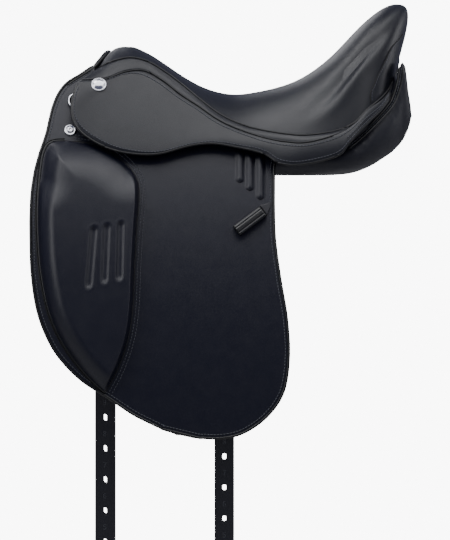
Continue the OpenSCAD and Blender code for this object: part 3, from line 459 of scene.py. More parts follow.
def makeSeat():
    t = np.linspace(0, seamEnd, seat["steps"] + 1)
    v = np.linspace(0, 1, seat["rows"]) ** 1.5
    half, share, rise = seatHalf(t, v)
    # the side panel's seam: the leather is drawn down into a groove with a soft roll below it
    roll, groove = (share - np.interp(t, *np.array(seat[k]).T) for k in ("roll", "groove"))
    push = between(seat["rollSpan"], t) * (
        seat["rollHeight"] * np.exp(-(roll * rise / seat["rollReach"]) ** 2)
        - seat["grooveDepth"] * np.exp(-(groove * rise / seat["grooveReach"]) ** 2))
    n = gridNormals(bothHalves(half))[:, :len(t)]
    n = n * np.sign(np.sum(n * [0, 1, 1], axis=-1, keepdims=True) + 1e-9)
    keep = (v * (1 - v) * 12).clip(0, 1)[:, None]
    moved = half + n * (push * keep)[..., None]
    moved[:, 0, 1] = moved[:, -1, 1] = moved[-1, :, 1] = 0
    under = seatHalf(t, np.array([0, 0.3, 0.6, 0.85, 1.0]), seat["leather"], 0, seat["leather"])[0]
    lip = (half[0] + under[0]) / 2 - [0, 0, seat["lip"]]
    # behind the pommel the leather is evened out along the seam, as stretched leather is
    ring = bothHalves(moved)
    shifts = np.arange(-9, 10)
    weight = np.exp(-(shifts / seat["even"]) ** 2 / 2)
    even = sum(w * np.roll(ring, k, axis=1) for k, w in zip(shifts, weight / weight.sum()))
    back = bothHalves(np.repeat(step(*seat["evenFrom"], t)[None, :, None], 3, axis=2))
    ring = ring + (even - ring) * np.abs(back)
    rows = np.concatenate([ring[::-1], bothHalves(lip[None]), bothHalves(under)])
    piece = makePiece("seat_leather", [ringed(rows)], seatLeather, 0.05)
    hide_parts("seat_cover", "seat_foam")
    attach(piece, "saddle")
    # cord round the seat's lower edge, and the sewn seam on each side of the cantle with a near-black cord
    # along it as painted shade of its crease
    edge = curve(seat["seam"], np.linspace(2, seamEnd, 160)) - [0, 0, 0.4]
    both = np.concatenate([edge, (edge * [1, -1, 1])[-2::-1]])
    line = spread(seat["facing"], 60)
    path, beside = (np.stack([seatHalf(np.array([a + shift]), np.array([b]))[0][0, 0] for a, b in line])
                    for shift in (0, seat["sewnBeside"]))
    out = np.concatenate([seamOut(line[:, 0]), np.full((len(line), 1), 0.35)], axis=1)
    cords = [mirror(tube(evenly(path, 2), seat["facingShade"], 8), side) for side in sides]
    sewn = [mirror(stitches(beside, unit(out)), side) for side in sides]
    piping = makePiece("seat_piping", [tube(evenly(both, 3), seat["cord"])], pipingLeather)
    seamShade = makePiece("seat_seam_shade", cords, paintedSeamShade)
    sewing = makePiece("seat_stitching", sewn, thread)
    for made in (piping, seamShade, sewing):
        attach(made, "saddle")


# Canvas across the tree, under the foam: two layers of the seat's own form, joined at the edge and the ridge
canvas = {"v": [0.46, 1.0], "inset": 8, "seamDrop": 8.3, "ridgeDrop": 23.3, "thick": 2,
          "steps": 120, "rows": 10, "flat": (0.139, 0.431), "area": 0.046}


def makeCanvas():
    t = np.linspace(0, seamEnd, canvas["steps"] + 1)
    v = np.linspace(*canvas["v"], canvas["rows"])
    top, under = (
        bothHalves(seatHalf(t, v, canvas["inset"], canvas["seamDrop"] + k, canvas["ridgeDrop"] + k)[0])
        for k in (0, canvas["thick"]))
    piece = makePiece("seat_canvas_linen", [ringed(np.concatenate([top[::-1], under]))], linen, 0.05)
    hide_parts("seat_canvas")
    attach(piece, "saddle")


makeSeat()
makeCanvas()
print("seat made")

# Skirt and welt: rows of x, z and distance from the flap, matched to the seam's points from number 2 on
skirt = {
    "top": [
        [-213, 129.5, 10], [-180, 131, 9.5], [-152, 141.5, 7], [-126, 143, 5.5], [-101, 130, 4.5],
        [-76, 110.5, 4], [-51, 94, 4], [-26, 76.5, 4.5], [-3, 65, 5.5], [20, 56.5, 8], [44, 49.5, 12],
        [70, 45, 17], [98, 44.5, 23], [137, 55, 29.5], [161.5, 69.5, 30.5], [180, 89, 28], [203, 105.5, 17],
        [214, 122.5, 4]],
    "edge": [
        [-217, 126, 1], [-224.7, 101, 2], [-223, 76, 1], [-209, 56, 0], [-176, 37, 0], [-141, 29, 0],
        [-105, 29, 0], [-64, 39.7, 0], [-32, 43, 0], [1, 38, 0], [37, 29.5, 2], [60, 16, 4],
        [92, 14.5, 8], [138, 26, 17], [154, 43, 21], [172, 63, 19], [199, 90, 7], [212, 113, -3]],
    "flap": 5, "gap": 9, "thick": 6, "first": 2, "steps": 170, "rows": 22,
    "crown": 1.6, "bead": 1.7, "inset": 4.6, "bend": [[-224.7, 103], [-22, 42.6]], "bendReach": 7,
}


# A point between the skirt's top and its edge at share w, off the wall by the mix of both plus extra
def skirtPoints(t, w, extra):
    top = curve(skirt["top"], t) + [0, 0, skirt["flap"]]
    low = curve(skirt["edge"], t) + [0, 0, skirt["flap"] + skirt["gap"]]
    w = (w[:, None] if w.ndim == 1 else w)[..., None]
    p = top * (1 - w) + low * w
    return onWall(p, p[..., 2] + extra)


# Two points on the side wall, above and below a bend line
def acrossBend(front, rear, off, reach, side):
    a, b = wallPoint(*front, off), wallPoint(*rear, off)
    mid = (a + b) / 2
    n = wallNormal(np.array(mid[2]), off)
    down = unit(np.cross(n, b - a))
    down = down * -np.sign(down[2])
    turn = np.array([1, sides[side], 1]) / 1000
    return tuple((mid - down * reach) * turn), tuple((mid + down * reach) * turn)


def makeSkirt(side):
    t = np.linspace(0, len(skirt["top"]) - 1, skirt["steps"])
    w = np.linspace(0.012, 0.985, skirt["rows"])
    crown = (skirt["crown"] * np.sin(np.pi * w) ** 0.7)[:, None]
    outer, inner = skirtPoints(t, w, skirt["thick"] + crown), skirtPoints(t, w, 0.0)
    edge = skirtPoints(t[2:-1], np.array([1.0]), skirt["thick"] - 1.2)[0]
    piece = makeSided("skirt_leather", side, [leaf(outer, inner, 1.4)], seatLeather)
    cord = tube(evenly(edge, 3), skirt["bead"])
    bead = makeSided("skirt_piping", side, [cord], pipingLeather)
    # seams at a fixed distance inside the edge and below the top, and one more along the narrow tail, each
    # with a near-black cord as painted shade of its groove
    high = np.linalg.norm((curve(skirt["edge"], t) - curve(skirt["top"], t))[:, :2], axis=1)
    lines, rows = [], []
    near = skirt["inset"] / high
    for share, part in ((1 - near, slice(4, -4)), (near, slice(10, -26)), (0.5 + 0 * high, slice(-34, -5))):
        share = share[None, part].clip(0.05, 0.95)
        path = skirtPoints(t[part], share, skirt["thick"] + skirt["crown"] * np.sin(np.pi * share) ** 0.7)[0]
        line, row = seam(path, wallNormal(path[:, 2], 20))
        lines.append(line)
        rows.append(row)
    seamShade = makeSided("skirt_seam_shade", side, lines, paintedSeamShade)
    sewn = makeSided("skirt_stitching", side, rows, thread)
    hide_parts("skirt_" + side, "skirt_lobe_" + side)
    bend = acrossBend(*skirt["bend"], skirt["flap"] + skirt["gap"] + skirt["thick"], skirt["bendReach"], side)
    for made in (piece, bead, seamShade, sewn):
        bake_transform(made)


# The welt fills the side between the seam and the skirt's top, with a low crown and a cord along its foot
welt = {"span": [2.0, 15.7], "thick": 4, "crown": 1.2, "cord": 1.3, "steps": 130}


def makeWelt(side):
    t = np.linspace(*welt["span"], welt["steps"])
    w = np.linspace(0.04, 0.96, 9)[:, None, None]
    top = curve(seat["seam"], t) - [0, 0, 0.3]
    out = np.concatenate([seamOut(t), np.zeros((len(t), 1))], axis=1)
    foot = curve(skirt["top"], t - skirt["first"]) + [0, 0.4, skirt["flap"] + skirt["thick"]]
    low, lowIn = onWall(foot, foot[:, 2]), onWall(foot, foot[:, 2] - welt["thick"])
    outer, inner = top * (1 - w) + low * w, (top - 3 * out) * (1 - w) + lowIn * w
    outer = outer + welt["crown"] * np.sin(np.pi * w) * unit(outer - inner)
    piece = makeSided("side_welt", side, [leaf(outer, inner, 0.3)], seatLeather)
    cord = tube(evenly(low[9:-8], 3), welt["cord"])
    cords = makeSided("welt_piping", side, [cord], pipingLeather)
    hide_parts("welt_" + side)
    for made in (piece, cords):
        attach(made, "saddle")


for side in sides:
    makeSkirt(side)
    makeWelt(side)
print("skirts and welts made")

# The flap: straight lines from its outer edge to its inner and rear edge, laid on the side wall
flap = {
    "outerEdge": [
        [-197, 151.5], [-216, 138.5], [-232, 128.5], [-243.5, 115], [-252, 96], [-257, 76], [-260.5, 60],
        [-264.5, 47], [-270, 31], [-273.7, 17.5], [-277, 4], [-281, -23], [-282.3, -50], [-282.5, -78],
        [-280.5, -135], [-272, -188], [-256, -229], [-237, -257], [-210, -283], [-176, -305], [-143, -327],
        [-121, -338.5], [-99, -349]],
    "innerEdge": [
        [-193, 147], [-194, 133], [-189, 117], [-188, 96], [-184, 74], [-168, 54], [-140, 46], [-100, 46],
        [-60, 53], [-15, 55], [20, 46], [53.5, 34], [53.5, 4], [53.4, -48], [55, -90], [62, -142],
        [71, -197], [73.5, -250], [66, -297], [44, -330], [12, -353], [-20, -361], [-55, -360]],
    "hinge": [[-262, 54.5], [53.5, 4]], "thick": 5, "rows": 170, "cols": 64, "inset": 2.0, "bendReach": 8,
    "ribs": [[5.5, 34, -11], [19, 31, -22], [33.5, 28, -34]], "ribRadius": 7.2, "ribHeight": 3.4,
    "binding": 1.9, "bindingIn": 1.6, "sewnIn": 6.5,
}


def makeFlap(side):
    a, b = spread(flap["outerEdge"], flap["rows"]), spread(flap["innerEdge"], flap["rows"])
    wide = np.linalg.norm(b - a, axis=1)
    edge = np.minimum(flap["inset"] / wide, 0.3)
    u = edge[:, None] + (1 - 2 * edge[:, None]) * np.linspace(0, 1, flap["cols"])[None]
    p = a[:, None] * (1 - u[..., None]) + b[:, None] * u[..., None]
    outer, inner = onWall(p, flap["thick"]), onWall(p, 0.0)
    piece = makeSided("flap_leather", side, [leaf(outer, inner, flap["inset"])], flapLeather)
    # bound edge: a cord along the front, the bottom and the lower rear, and a sewn seam inside it with a
    # near-black cord as painted shade of its groove
    rim = evenly(np.concatenate([a[2:], b[::-1][1:int(flap["rows"] * 0.5)]]), 3)
    into = squareTo(rim)
    cord = tube(onWall(rim + into * flap["bindingIn"], flap["thick"] + 0.2), flap["binding"])
    inside = onWall(rim + into * flap["sewnIn"], flap["thick"])
    line, sewn = seam(inside, wallNormal(rim[:, 1], flap["thick"]))
    binding = makeSided("flap_binding", side, [cord], pipingLeather)
    seamShade = makeSided("flap_seam_shade", side, [line], paintedSeamShade)
    sewing = makeSided("flap_stitching", side, [sewn], thread)
    # pressed ribs: long domes, round at both ends, whose height falls to nothing at the edge
    bars = []
    w = np.linspace(-1, 1, 17)[:, None]
    for x, top, low in flap["ribs"]:
        z = np.linspace(top, low, 60)
        end = np.minimum(np.minimum(top - z, z - low) / flap["ribRadius"], 1)
        half = flap["ribRadius"] * np.sqrt(np.maximum(1 - (1 - end) ** 2, 0.02))
        up = flap["ribHeight"] * (1 - w * w) ** 2 * (half / flap["ribRadius"]) ** 1.5
        crest, foot = (wallPoint(x + w * half, z + 0 * w, flap["thick"] + k) for k in (0.05 + up, -0.5))
        bars.append(leaf(crest, foot, 0.1))
    ribs = makeSided("flap_ribs", side, bars, flapLeather)
    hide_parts("flap_head_" + side, "flap_" + side)
    bend = acrossBend(*flap["hinge"], flap["thick"], flap["bendReach"], side)
    for made in (piece, binding, seamShade, sewing, ribs):
        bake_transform(made)


# The knee block: a pad stretched between its front and back edges, high along the front and low at the back.
# It rises from each edge in a round shoulder, so its height follows from the distances to the edges, and it
# is thicker at the top than at the bottom.
block = {
    "front": [
        [-230, 47], [-252, 45], [-263, 33], [-268, 5], [-271, -40], [-270, -90], [-265, -140], [-254, -190],
        [-236, -230], [-211, -265], [-190, -287], [-178, -297]],
    "back": [
        [-230, 47], [-196, 42], [-170, 30], [-150, 14], [-136, -6], [-133, -30], [-136, -75], [-139, -130],
        [-141, -180], [-147, -222], [-160, -262], [-178, -297]],
    "frontFrom": 1.6, "topTo": 3.2, "backFrom": 2.2,
    "frontHeight": 29, "backHeight": 17, "thinner": [0.7, 1.12], "thinnerSpan": [-297, 20],
    "frontRound": 26, "topRound": 52, "backRound": 6, "gap": 0.4, "rim": 1.2, "cord": 2.0, "backShade": 1.1,
    "sewnBehind": (4.2, 8.6), "steps": 180, "across": 90,
    "grooves": [[-194.5, -76, -200.7, -150], [-176.7, -72, -179.5, -143], [-157.6, -69, -159, -139]],
    "grooveWidth": 4.4, "grooveDepth": 2.4, "lip": 0.5,
}
blockEnd = len(block["front"]) - 1


# Distance from each point of a grid to the nearest of the points along a line
def distanceTo(points, line):
    return np.min(np.linalg.norm(points[..., None, :] - line, axis=-1), axis=-1)


# Rises from 0 at an edge to 1 at the given distance, steep at first and level at the end
def shoulder(d, reach):
    return 1 - (1 - np.minimum(d / reach, 1)) ** 2


def makeBlock(side):
    t = blockEnd * np.linspace(0, 1, block["steps"])
    u = (0.5 - 0.5 * np.cos(np.pi * np.linspace(0, 1, block["across"])))[:, None]
    p = curve(block["front"], t)[:, None] * (1 - u) + curve(block["back"], t)[:, None] * u
    fine = np.linspace(0, blockEnd, 260)
    toFront = distanceTo(p, curve(block["front"], fine[fine > block["frontFrom"]]))
    top = fine[fine < block["topTo"]]
    toTop = distanceTo(p, np.concatenate([curve(block[k], top) for k in ("front", "back")]))
    toBack = distanceTo(p, curve(block["back"], fine[fine > block["backFrom"]]))
    high = block["frontHeight"] + (block["backHeight"] - block["frontHeight"]) * u[None, :, 0]
    high = high * np.interp(p[..., 1], block["thinnerSpan"], block["thinner"])
    high = high * shoulder(toFront, block["frontRound"]) * shoulder(toBack, block["backRound"]) ** 0.8
    high = high * shoulder(toTop, block["topRound"]) ** 0.8
    for x0, z0, x1, z1 in block["grooves"]:
        along = np.array([x1 - x0, z1 - z0])
        f = np.clip(((p - [x0, z0]) @ along) / (along @ along), 0, 1)
        d = np.linalg.norm(p - [x0, z0] - f[..., None] * along, axis=-1)
        high = high - block["grooveDepth"] * np.exp(-(d / block["grooveWidth"]) ** 4)
        high = high + block["lip"] * np.exp(-((d - block["grooveWidth"] - 2) / 1.6) ** 2)
    low = flap["thick"] + block["gap"]
    outer, inner = onWall(p, low + block["rim"] + np.maximum(high, 0)), onWall(p, low)
    piece = makeSided("knee_block_leather", side, [leaf(outer, inner, 0.4)], blockLeather, 0.05)
    # a cord along the front edge and a near-black cord along the back edge as painted shade of the seam
    # groove, two sewn seams on the flap behind the block each with a near-black cord as painted shade of its
    # groove, and a near-black line in front of the block as painted shade of the groove there
    t = np.linspace(0.3, blockEnd - 0.1, 150)
    back, front = curve(block["back"], t), curve(block["front"], t)
    # near-black cord along the back edge: painted shade of the seam groove
    cord = tube(evenly(onWall(back, flap["thick"] + 0.4), 3), block["backShade"])
    cordFront = tube(evenly(onWall(front, flap["thick"] + 1.4), 3), block["cord"])
    away = squareTo(back)
    lines, rows = zip(*[seam(onWall(back + away * k, flap["thick"]), wallNormal(back[:, 1], flap["thick"]))
                        for k in block["sewnBehind"]])
    # near-black line in front of the front cord: painted shade of the groove there
    ahead = -squareTo(front) * (block["cord"] + 0.9)
    lines = (*lines, tube(evenly(onWall(front + ahead, flap["thick"]), 3), 1.0, 6))
    piping = makeSided("knee_block_piping", side, [cordFront], pipingLeather)
    seamShade = makeSided("knee_block_seam_shade", side, [cord, *lines], paintedSeamShade)
    sewn = makeSided("knee_block_stitching", side, rows, thread)
    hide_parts("knee_block_" + side)
    for made in (piece, piping, seamShade, sewn):
        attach(made, side + "_flap")


# The keeper: a strip bent into a low bridge, square-shouldered, its ends turned in and sewn to the flap
keeper = {"x": 19, "z": -63, "tilt": 37, "length": 46, "width": 16, "thick": 2.5, "gap": 6,
          "clear": 0.3, "crown": 1.4, "sewnDip": 0.7, "sewnAcross": (-5.6, 5.6),
          "tip": [[33, -42], [42, -55], [48.6, -38]]}


def makeKeeper(side):
    k = keeper
    s = np.linspace(-1, 1, 60)
    half, high = k["length"] / 2, k["gap"] + k["thick"]
    along = half * np.sign(s) * np.minimum(np.abs(s) ** 0.9 * 1.12, 1)
    up = high * np.minimum((1 - np.abs(s) ** 7) * 1.35, 1)
    w = np.linspace(-1, 1, 41)[:, None]
    lower = np.maximum(up - k["thick"], 0)
    shrink = 1 - k["thick"] / half
    a = math.radians(k["tilt"])
    def place(along, across, up):
        x = k["x"] + along * math.cos(a) + across * math.sin(a)
        z = k["z"] + along * math.sin(a) - across * math.cos(a)
        return wallPoint(x, z, flap["thick"] + k["clear"] + up)
    across = w * (k["width"] / 2 - 0.8)
    crown = k["crown"] * (1 - w ** 4) - k["sewnDip"] * np.exp(-((np.abs(w) - 0.5) / 0.12) ** 2)
    outer = place(along[None] + 0 * w, across + 0 * along, up[None] + crown)
    inner = place(along[None] * shrink + 0 * w, across + 0 * along, lower[None] + 0 * w)
    piece = makeSided("keeper_loop", side, [leaf(outer, inner, 0.8)], pipingLeather)
    rows = []
    for q in k["sewnAcross"]:
        path = place(np.linspace(-half * 0.82, half * 0.82, 30), np.full(30, q), np.full(30, high + 0.35))
        rows.append(stitches(path, wallNormal(path[:, 2], flap["thick"]), 3.2, 2.3, 0.4))
    sewn = makeSided("keeper_stitching", side, rows, thread)
    # the strap's end, folded to a point and sewn down beside the loop
    f, g = np.linspace(0.03, 0.97, 14)[:, None, None], np.linspace(0, 1, 12)[None, :, None]
    tip = np.array(k["tip"])
    p = (tip[0] * (1 - g) + tip[1] * g) * (1 - f) + tip[2] * f
    fold = leaf(onWall(p, flap["thick"] + 1.9), onWall(p, flap["thick"] + 0.1), 0.7)
    folded = makeSided("keeper_fold", side, [fold], strapLeather, 0.05)
    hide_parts("keeper_" + side)
    for made in (piece, sewn, folded):
        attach(made, side + "_flap")


for side in sides:
    makeFlap(side)
    makeBlock(side)
    makeKeeper(side)
print("flaps, knee blocks and keepers made")

# The panel: stations of x, shift, mid height, half width, half thickness and roll. Each section is
# a superellipse.
panel = {
    "stations": [
        [-228, -4, 22, 34, 5, 62], [-222, -19, 20, 52, 9, 62], [-200, -28, 16, 66, 12, 62],
        [-165, -26, 22, 64, 13, 60], [-125, -15, 34, 50, 15, 50], [-80, -6, 27, 40, 18, 32],
        [-40, -2, 23, 36, 20, 18], [10, 0, 22, 36.5, 21, 10], [60, 1, 22, 41, 21.5, 7],
        [110, 1, 22, 51, 21.5, 5], [140, 1, 22, 53, 21.5, 3], [165, 1, 29, 51, 26, 0],
        [188, 1, 47, 45, 35, 0], [206, 2, 63, 36, 39, 0], [215, 3, 76, 30, 46, 0], [221, 4, 91, 25, 55, 0],
        [226.5, 6, 104, 20, 62, 0], [230.5, 7.5, 100, 18, 52, 0], [234.5, 11, 89.5, 14, 30.5, 0],
        [238.5, 16, 86, 8, 16, 0], [240.5, 21, 85, 3, 4, 0]],
    "halfGullet": 32, "square": 2.6, "steps": 150, "around": 56,
    "swell": 4, "voxel": 5, "pressure": 4, "frames": 20, "unswollen": 0.3,
    # sewn band along the upper edge of the panel's back: x and z
    "band": [[154.8, 39.7], [172, 54], [192, 73], [212, 95], [220, 112], [224.5, 130], [227, 147]],
    "bandWidth": 5.5, "bandCord": 1.2,
}


# A point of the panel's section: w is the angle round it, and inset makes the section smaller
def panelAt(t, w, inset=0.0):
    s = curve(panel["stations"], t)
    power = 2 / panel["square"]
    u = np.maximum(s[:, 3:4] - inset, 1) * np.sign(np.cos(w)) * np.abs(np.cos(w)) ** power
    h = np.maximum(s[:, 4:5] - inset, 1) * np.sign(np.sin(w)) * np.abs(np.sin(w)) ** power
    roll = np.radians(s[:, 5:6])
    y = panel["halfGullet"] + s[:, 3:4] + s[:, 1:2] + u * np.cos(roll) + h * np.sin(roll)
    return np.stack([s[:, :1] + 0 * u, y, s[:, 2:3] - u * np.sin(roll) + h * np.cos(roll)], axis=-1)


# The outermost point of the panel's side at given x and z
def panelFace(line):
    stations = spread(panel["stations"], 400)
    s = np.stack([np.interp(line[:, 0], stations[:, 0], stations[:, k]) for k in range(6)], axis=1)
    h = np.clip((line[:, 1] - s[:, 2]) / s[:, 4], -0.97, 0.97)
    u = s[:, 3] * (1 - np.abs(h) ** panel["square"]) ** (1 / panel["square"])
    return np.stack([line[:, 0], panel["halfGullet"] + s[:, 3] + s[:, 1] + u, line[:, 1]], axis=1)


# The pad starts smaller than it is and swells: its skin is a cloth under pressure, and no point moves
# beyond the cap
def swell(part, cap):
    pad = makePiece("pad", [part], panelLeather, 0.02)
    remesh = pad.modifiers.new("remesh", "REMESH")
    remesh.mode, remesh.voxel_size = "VOXEL", panel["voxel"] / 1000
    scene = bpy.context.scene
    mesh = bpy.data.meshes.new_from_object(pad.evaluated_get(bpy.context.evaluated_depsgraph_get()))
    pad.modifiers.clear()
    pad.data = mesh
    start = np.empty(3 * len(mesh.vertices))
    mesh.vertices.foreach_get("co", start)
    faces = np.empty(len(mesh.loops), np.int32)
    mesh.loops.foreach_get("vertex_index", faces)
    cloth = pad.modifiers.new("cloth", "CLOTH").settings
    cloth.use_pressure, cloth.uniform_pressure_force = True, panel["pressure"]
    cloth.effector_weights.gravity = 0
    for frameNumber in range(1, panel["frames"] + 1):
        scene.frame_set(frameNumber)
    end = np.empty_like(start)
    pad.evaluated_get(bpy.context.evaluated_depsgraph_get()).data.vertices.foreach_get("co", end)
    move = (end - start).reshape(-1, 3) * 1000
    far = np.linalg.norm(move, axis=1, keepdims=True)
    scene.frame_set(1)
    bpy.data.objects.remove(pad)
    move = move * np.minimum(1, cap / np.maximum(far, 1e-6))
    return start.reshape(-1, 3) * 1000 + move, faces.reshape(-1, 4)


def panelSkin():
    t = np.linspace(0, len(panel["stations"]) - 1, panel["steps"])
    w = 2 * np.pi * (np.arange(panel["around"]) + 0.5) / panel["around"]
    rings = panelAt(t, w, panel["swell"])
    ends = [rings[k:k + 1].mean(axis=1, keepdims=True) + 0 * rings[:1] for k in (0, len(t) - 1)]
    rows = np.concatenate([ends[0], rings, ends[1]])
    part = ringed(rows)
    return swell(part, panel["swell"])


skin = panelSkin()
print("panel swollen:", len(skin[0]), "points")


def makePanel(side):
    piece = makeSided("panel_leather", side, [skin], panelLeather, 0.02)
    smooth = piece.modifiers.new("smooth", "SUBSURF")
    smooth.levels = smooth.render_levels = 1
    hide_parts("panel_" + side, "panel_flock_" + side)
    line = evenly(panel["band"], 3)
    turn = squareTo(line) * panel["bandWidth"] / 2
    cords = [tube(panelFace(line + turn * k), panel["bandCord"], 8) for k in (-1, 1)]
    row = stitches(panelFace(line), [0.3, 0.9, 0.3])
    band = makeSided("panel_piping", side, cords, pipingLeather)
    sewn = makeSided("panel_stitching", side, [row], thread)
    for made in (piece, band, sewn):
        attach(made, "saddle")


for side in sides:
    makePanel(side)


# The front facing runs from leg to leg over the head: each row of it goes straight from an outer edge, up the
# flap's inside and on under the rolled edge, to an inner edge that laps round the head and its plate
headForm = {"front": [[6, -168], [50, -176], [122, -172]], "out": -7, "deep": 16.3, "top": 122, "low": 9,
            "mid": 50, "thick": 2, "gap": 0.3, "underRoll": 4.4, "swell": 1.5}


def frontRows(roll):
    h = headForm
    def leg(z, off):
        return wallPoint(np.interp(z, *np.array(h["front"]).T) - h["gap"], z, off)
    def climb(z):
        return np.concatenate([np.linspace(h["low"], h["mid"], 10), np.linspace(h["mid"], z, 16)[1:]])
    topIn = h["top"] - h["deep"]
    corner = leg(np.array([topIn]), h["out"] - h["deep"])
    over = curve(roll, np.linspace(3, 0, 24)) - [0, 0, h["underRoll"]]
    outer = np.concatenate([leg(climb(h["top"] - h["gap"]), h["out"] - h["gap"]), over])
    across = corner * np.linspace([1, 1, 1], [1, 0, 1], 24)
    inner = np.concatenate([leg(climb(topIn), h["out"] - h["deep"]), across])
    f = np.linspace(0.02, 0.98, 14)[:, None, None]
    half = outer * (1 - f) + inner * f
    half = half - np.array([h["swell"], 0, 0]) * np.sin(np.pi * f)  # a slight swell to the front
    rows = np.concatenate([half * [1, -1, 1], half[:, -2::-1]], axis=1)
    return rows - [h["thick"], 0, 0], rows


# The gusset is a strip from the seat's lower edge to the top of the panel's back
gusset = {"seam": [15.1, 19.7], "panel": [10.5, 14.6], "turn": [45, 52], "inset": 0.8, "thick": 2,
          "steps": 40}


def makeGusset(side):
    t, tp = (np.linspace(*gusset[k], gusset["steps"]) for k in ("seam", "panel"))
    out = np.concatenate([seamOut(t), np.zeros((len(t), 1))], axis=1)
    w = np.linspace(0.03, 0.97, 8)[:, None, None]
    faces = []
    for k, turn in enumerate(gusset["turn"]):
        upper = curve(seat["seam"], t) - out * (gusset["inset"] + k * gusset["thick"]) - [0, 0, 0.9]
        lower = panelAt(tp, np.radians([turn]), -0.6)[:, 0]
        faces.append(upper * (1 - w) + lower * w)
    piece = makeSided("gusset_leather", side, [leaf(*faces, 0.3)], panelLeather)
    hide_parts("gusset_" + side)
    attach(piece, "saddle")


for side in sides:
    makeGusset(side)


# Lining and rear facing: leaves across the channel, arched by a crown that falls off with the square of the
# distance from the middle. A rolled edge runs over the pommel and tapers down both flaps.
channel = {
    "span": [2.2, 13], "lap": 2.5, "crown": 8, "thick": 2, "steps": 80, "across": 21,
    # the facing from its foot up: x, half width, z, crown upwards and crown to the rear
    "facing": [[209, 37, 57, 8, 0], [214, 39.5, 80, 6, 1], [217.5, 42.5, 108, 7, 2], [219, 48, 130, 10, 2.5],
               [219, 52, 136, 20, 3]],
    # the rolled edge: x, y and z over half the pommel, x and z down a flap, and its radius by distance
    "roll": [[-175, 0, 168.5], [-178, 16, 167], [-184.5, 32, 160], [-191.5, 44, 152], [-194, 48, 149]],
    "rollDown": [[-201, 143.5], [-211, 137], [-221, 130.5], [-231, 123.5]],
    "rollRadius": [[20, 4], [44, 3], [56, 2.3], [72, 1.5]],
}


def makeLinings():
    t = np.linspace(*channel["span"], channel["steps"])
    s = curve(panel["stations"], t)
    roll = np.radians(s[:, 5])
    v = np.linspace(-1, 1, channel["across"])[:, None]
    bow = 1 - v * v
    y = panel["halfGullet"] + s[:, 3] + s[:, 1] - s[:, 3] * np.cos(roll) + channel["lap"]
    z = s[:, 2] + s[:, 3] * np.sin(roll)
    under = np.stack([s[:, 0] + 0 * v, y * v, z + channel["crown"] * bow], axis=-1)
    above = under + [0, 0, channel["thick"]]
    lining = makePiece("gullet_lining_leather", [leaf(above, under, 0.3)], panelLeather)
    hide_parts("gullet_lining")
    e = spread(channel["facing"], 60)
    back = np.stack([e[:, 0] + e[:, 4] * bow, e[:, 1] * v, e[:, 2] + e[:, 3] * bow], axis=-1)
    ahead = back - [channel["thick"], 0, 0]
    facing = makePiece("rear_facing_leather", [leaf(back, ahead, 0.3)], panelLeather)
    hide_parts("rear_facing")
    half = np.array(channel["roll"])
    down = onWall(np.array(channel["rollDown"]), flap["thick"] - 1)
    whole = np.concatenate([half, down])
    path = evenly(np.concatenate([(whole * [1, -1, 1])[:0:-1], whole]), 2.5)
    radius = np.interp(np.abs(path[:, 1]), *np.array(channel["rollRadius"]).T)
    roll = makePiece("pommel_edge_leather", [tube(path, radius, 18)], pipingLeather)
    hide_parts("pommel_roll")
    front = makePiece("front_facing_leather", [leaf(*frontRows(half), 0.8)], panelLeather)
    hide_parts("front_facing")
    for made in (lining, facing, roll, front):
        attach(made, "saddle")


makeLinings()
print("panels and linings made")

# Webs: a flat strip carried down the inside of the wall, then straight down behind the billet
web = {"off": -4.2, "thick": 2.5, "width": 32, "billetY": 122, "billetThick": 3.6, "low": -40,
       "front": {"x": -179.5, "top": 59.5}, "rear": {"x": -16, "top": 50}}


def makeWeb(side, which):
    faceY = web["billetY"] - web["billetThick"] / 2 - 0.3
    turnZ = wallCz + math.sqrt((wall["radius"] + web["off"]) ** 2 - (faceY - wallCy) ** 2)
    slant = np.linspace(web[which]["top"] - 0.6, turnZ, 20)
    z = np.concatenate([slant, np.linspace(turnZ - 3, web["low"] + 0.6, 14)])
    def profile(off, y):
        slope = wallPoint(0 * z, np.maximum(z, turnZ), off)[:, 1]
        return np.where(z >= turnZ, slope, y)
    w = np.linspace(-1, 1, 9)[:, None] * (web["width"] / 2 - 0.6)
    x = web[which]["x"] + w
    outer, inner = (np.stack([x + 0 * z, profile(web["off"] - k, faceY - k) + 0 * w, z + 0 * w], axis=-1)
                    for k in (0, web["thick"]))
    piece = makeSided("billet_web_" + which, side, [leaf(outer, inner, 0.6)], linen)
    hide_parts(f"web_{which}_{side}")
    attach(piece, "saddle")


for side in sides:
    for which in ("front", "rear"):
        makeWeb(side, which)

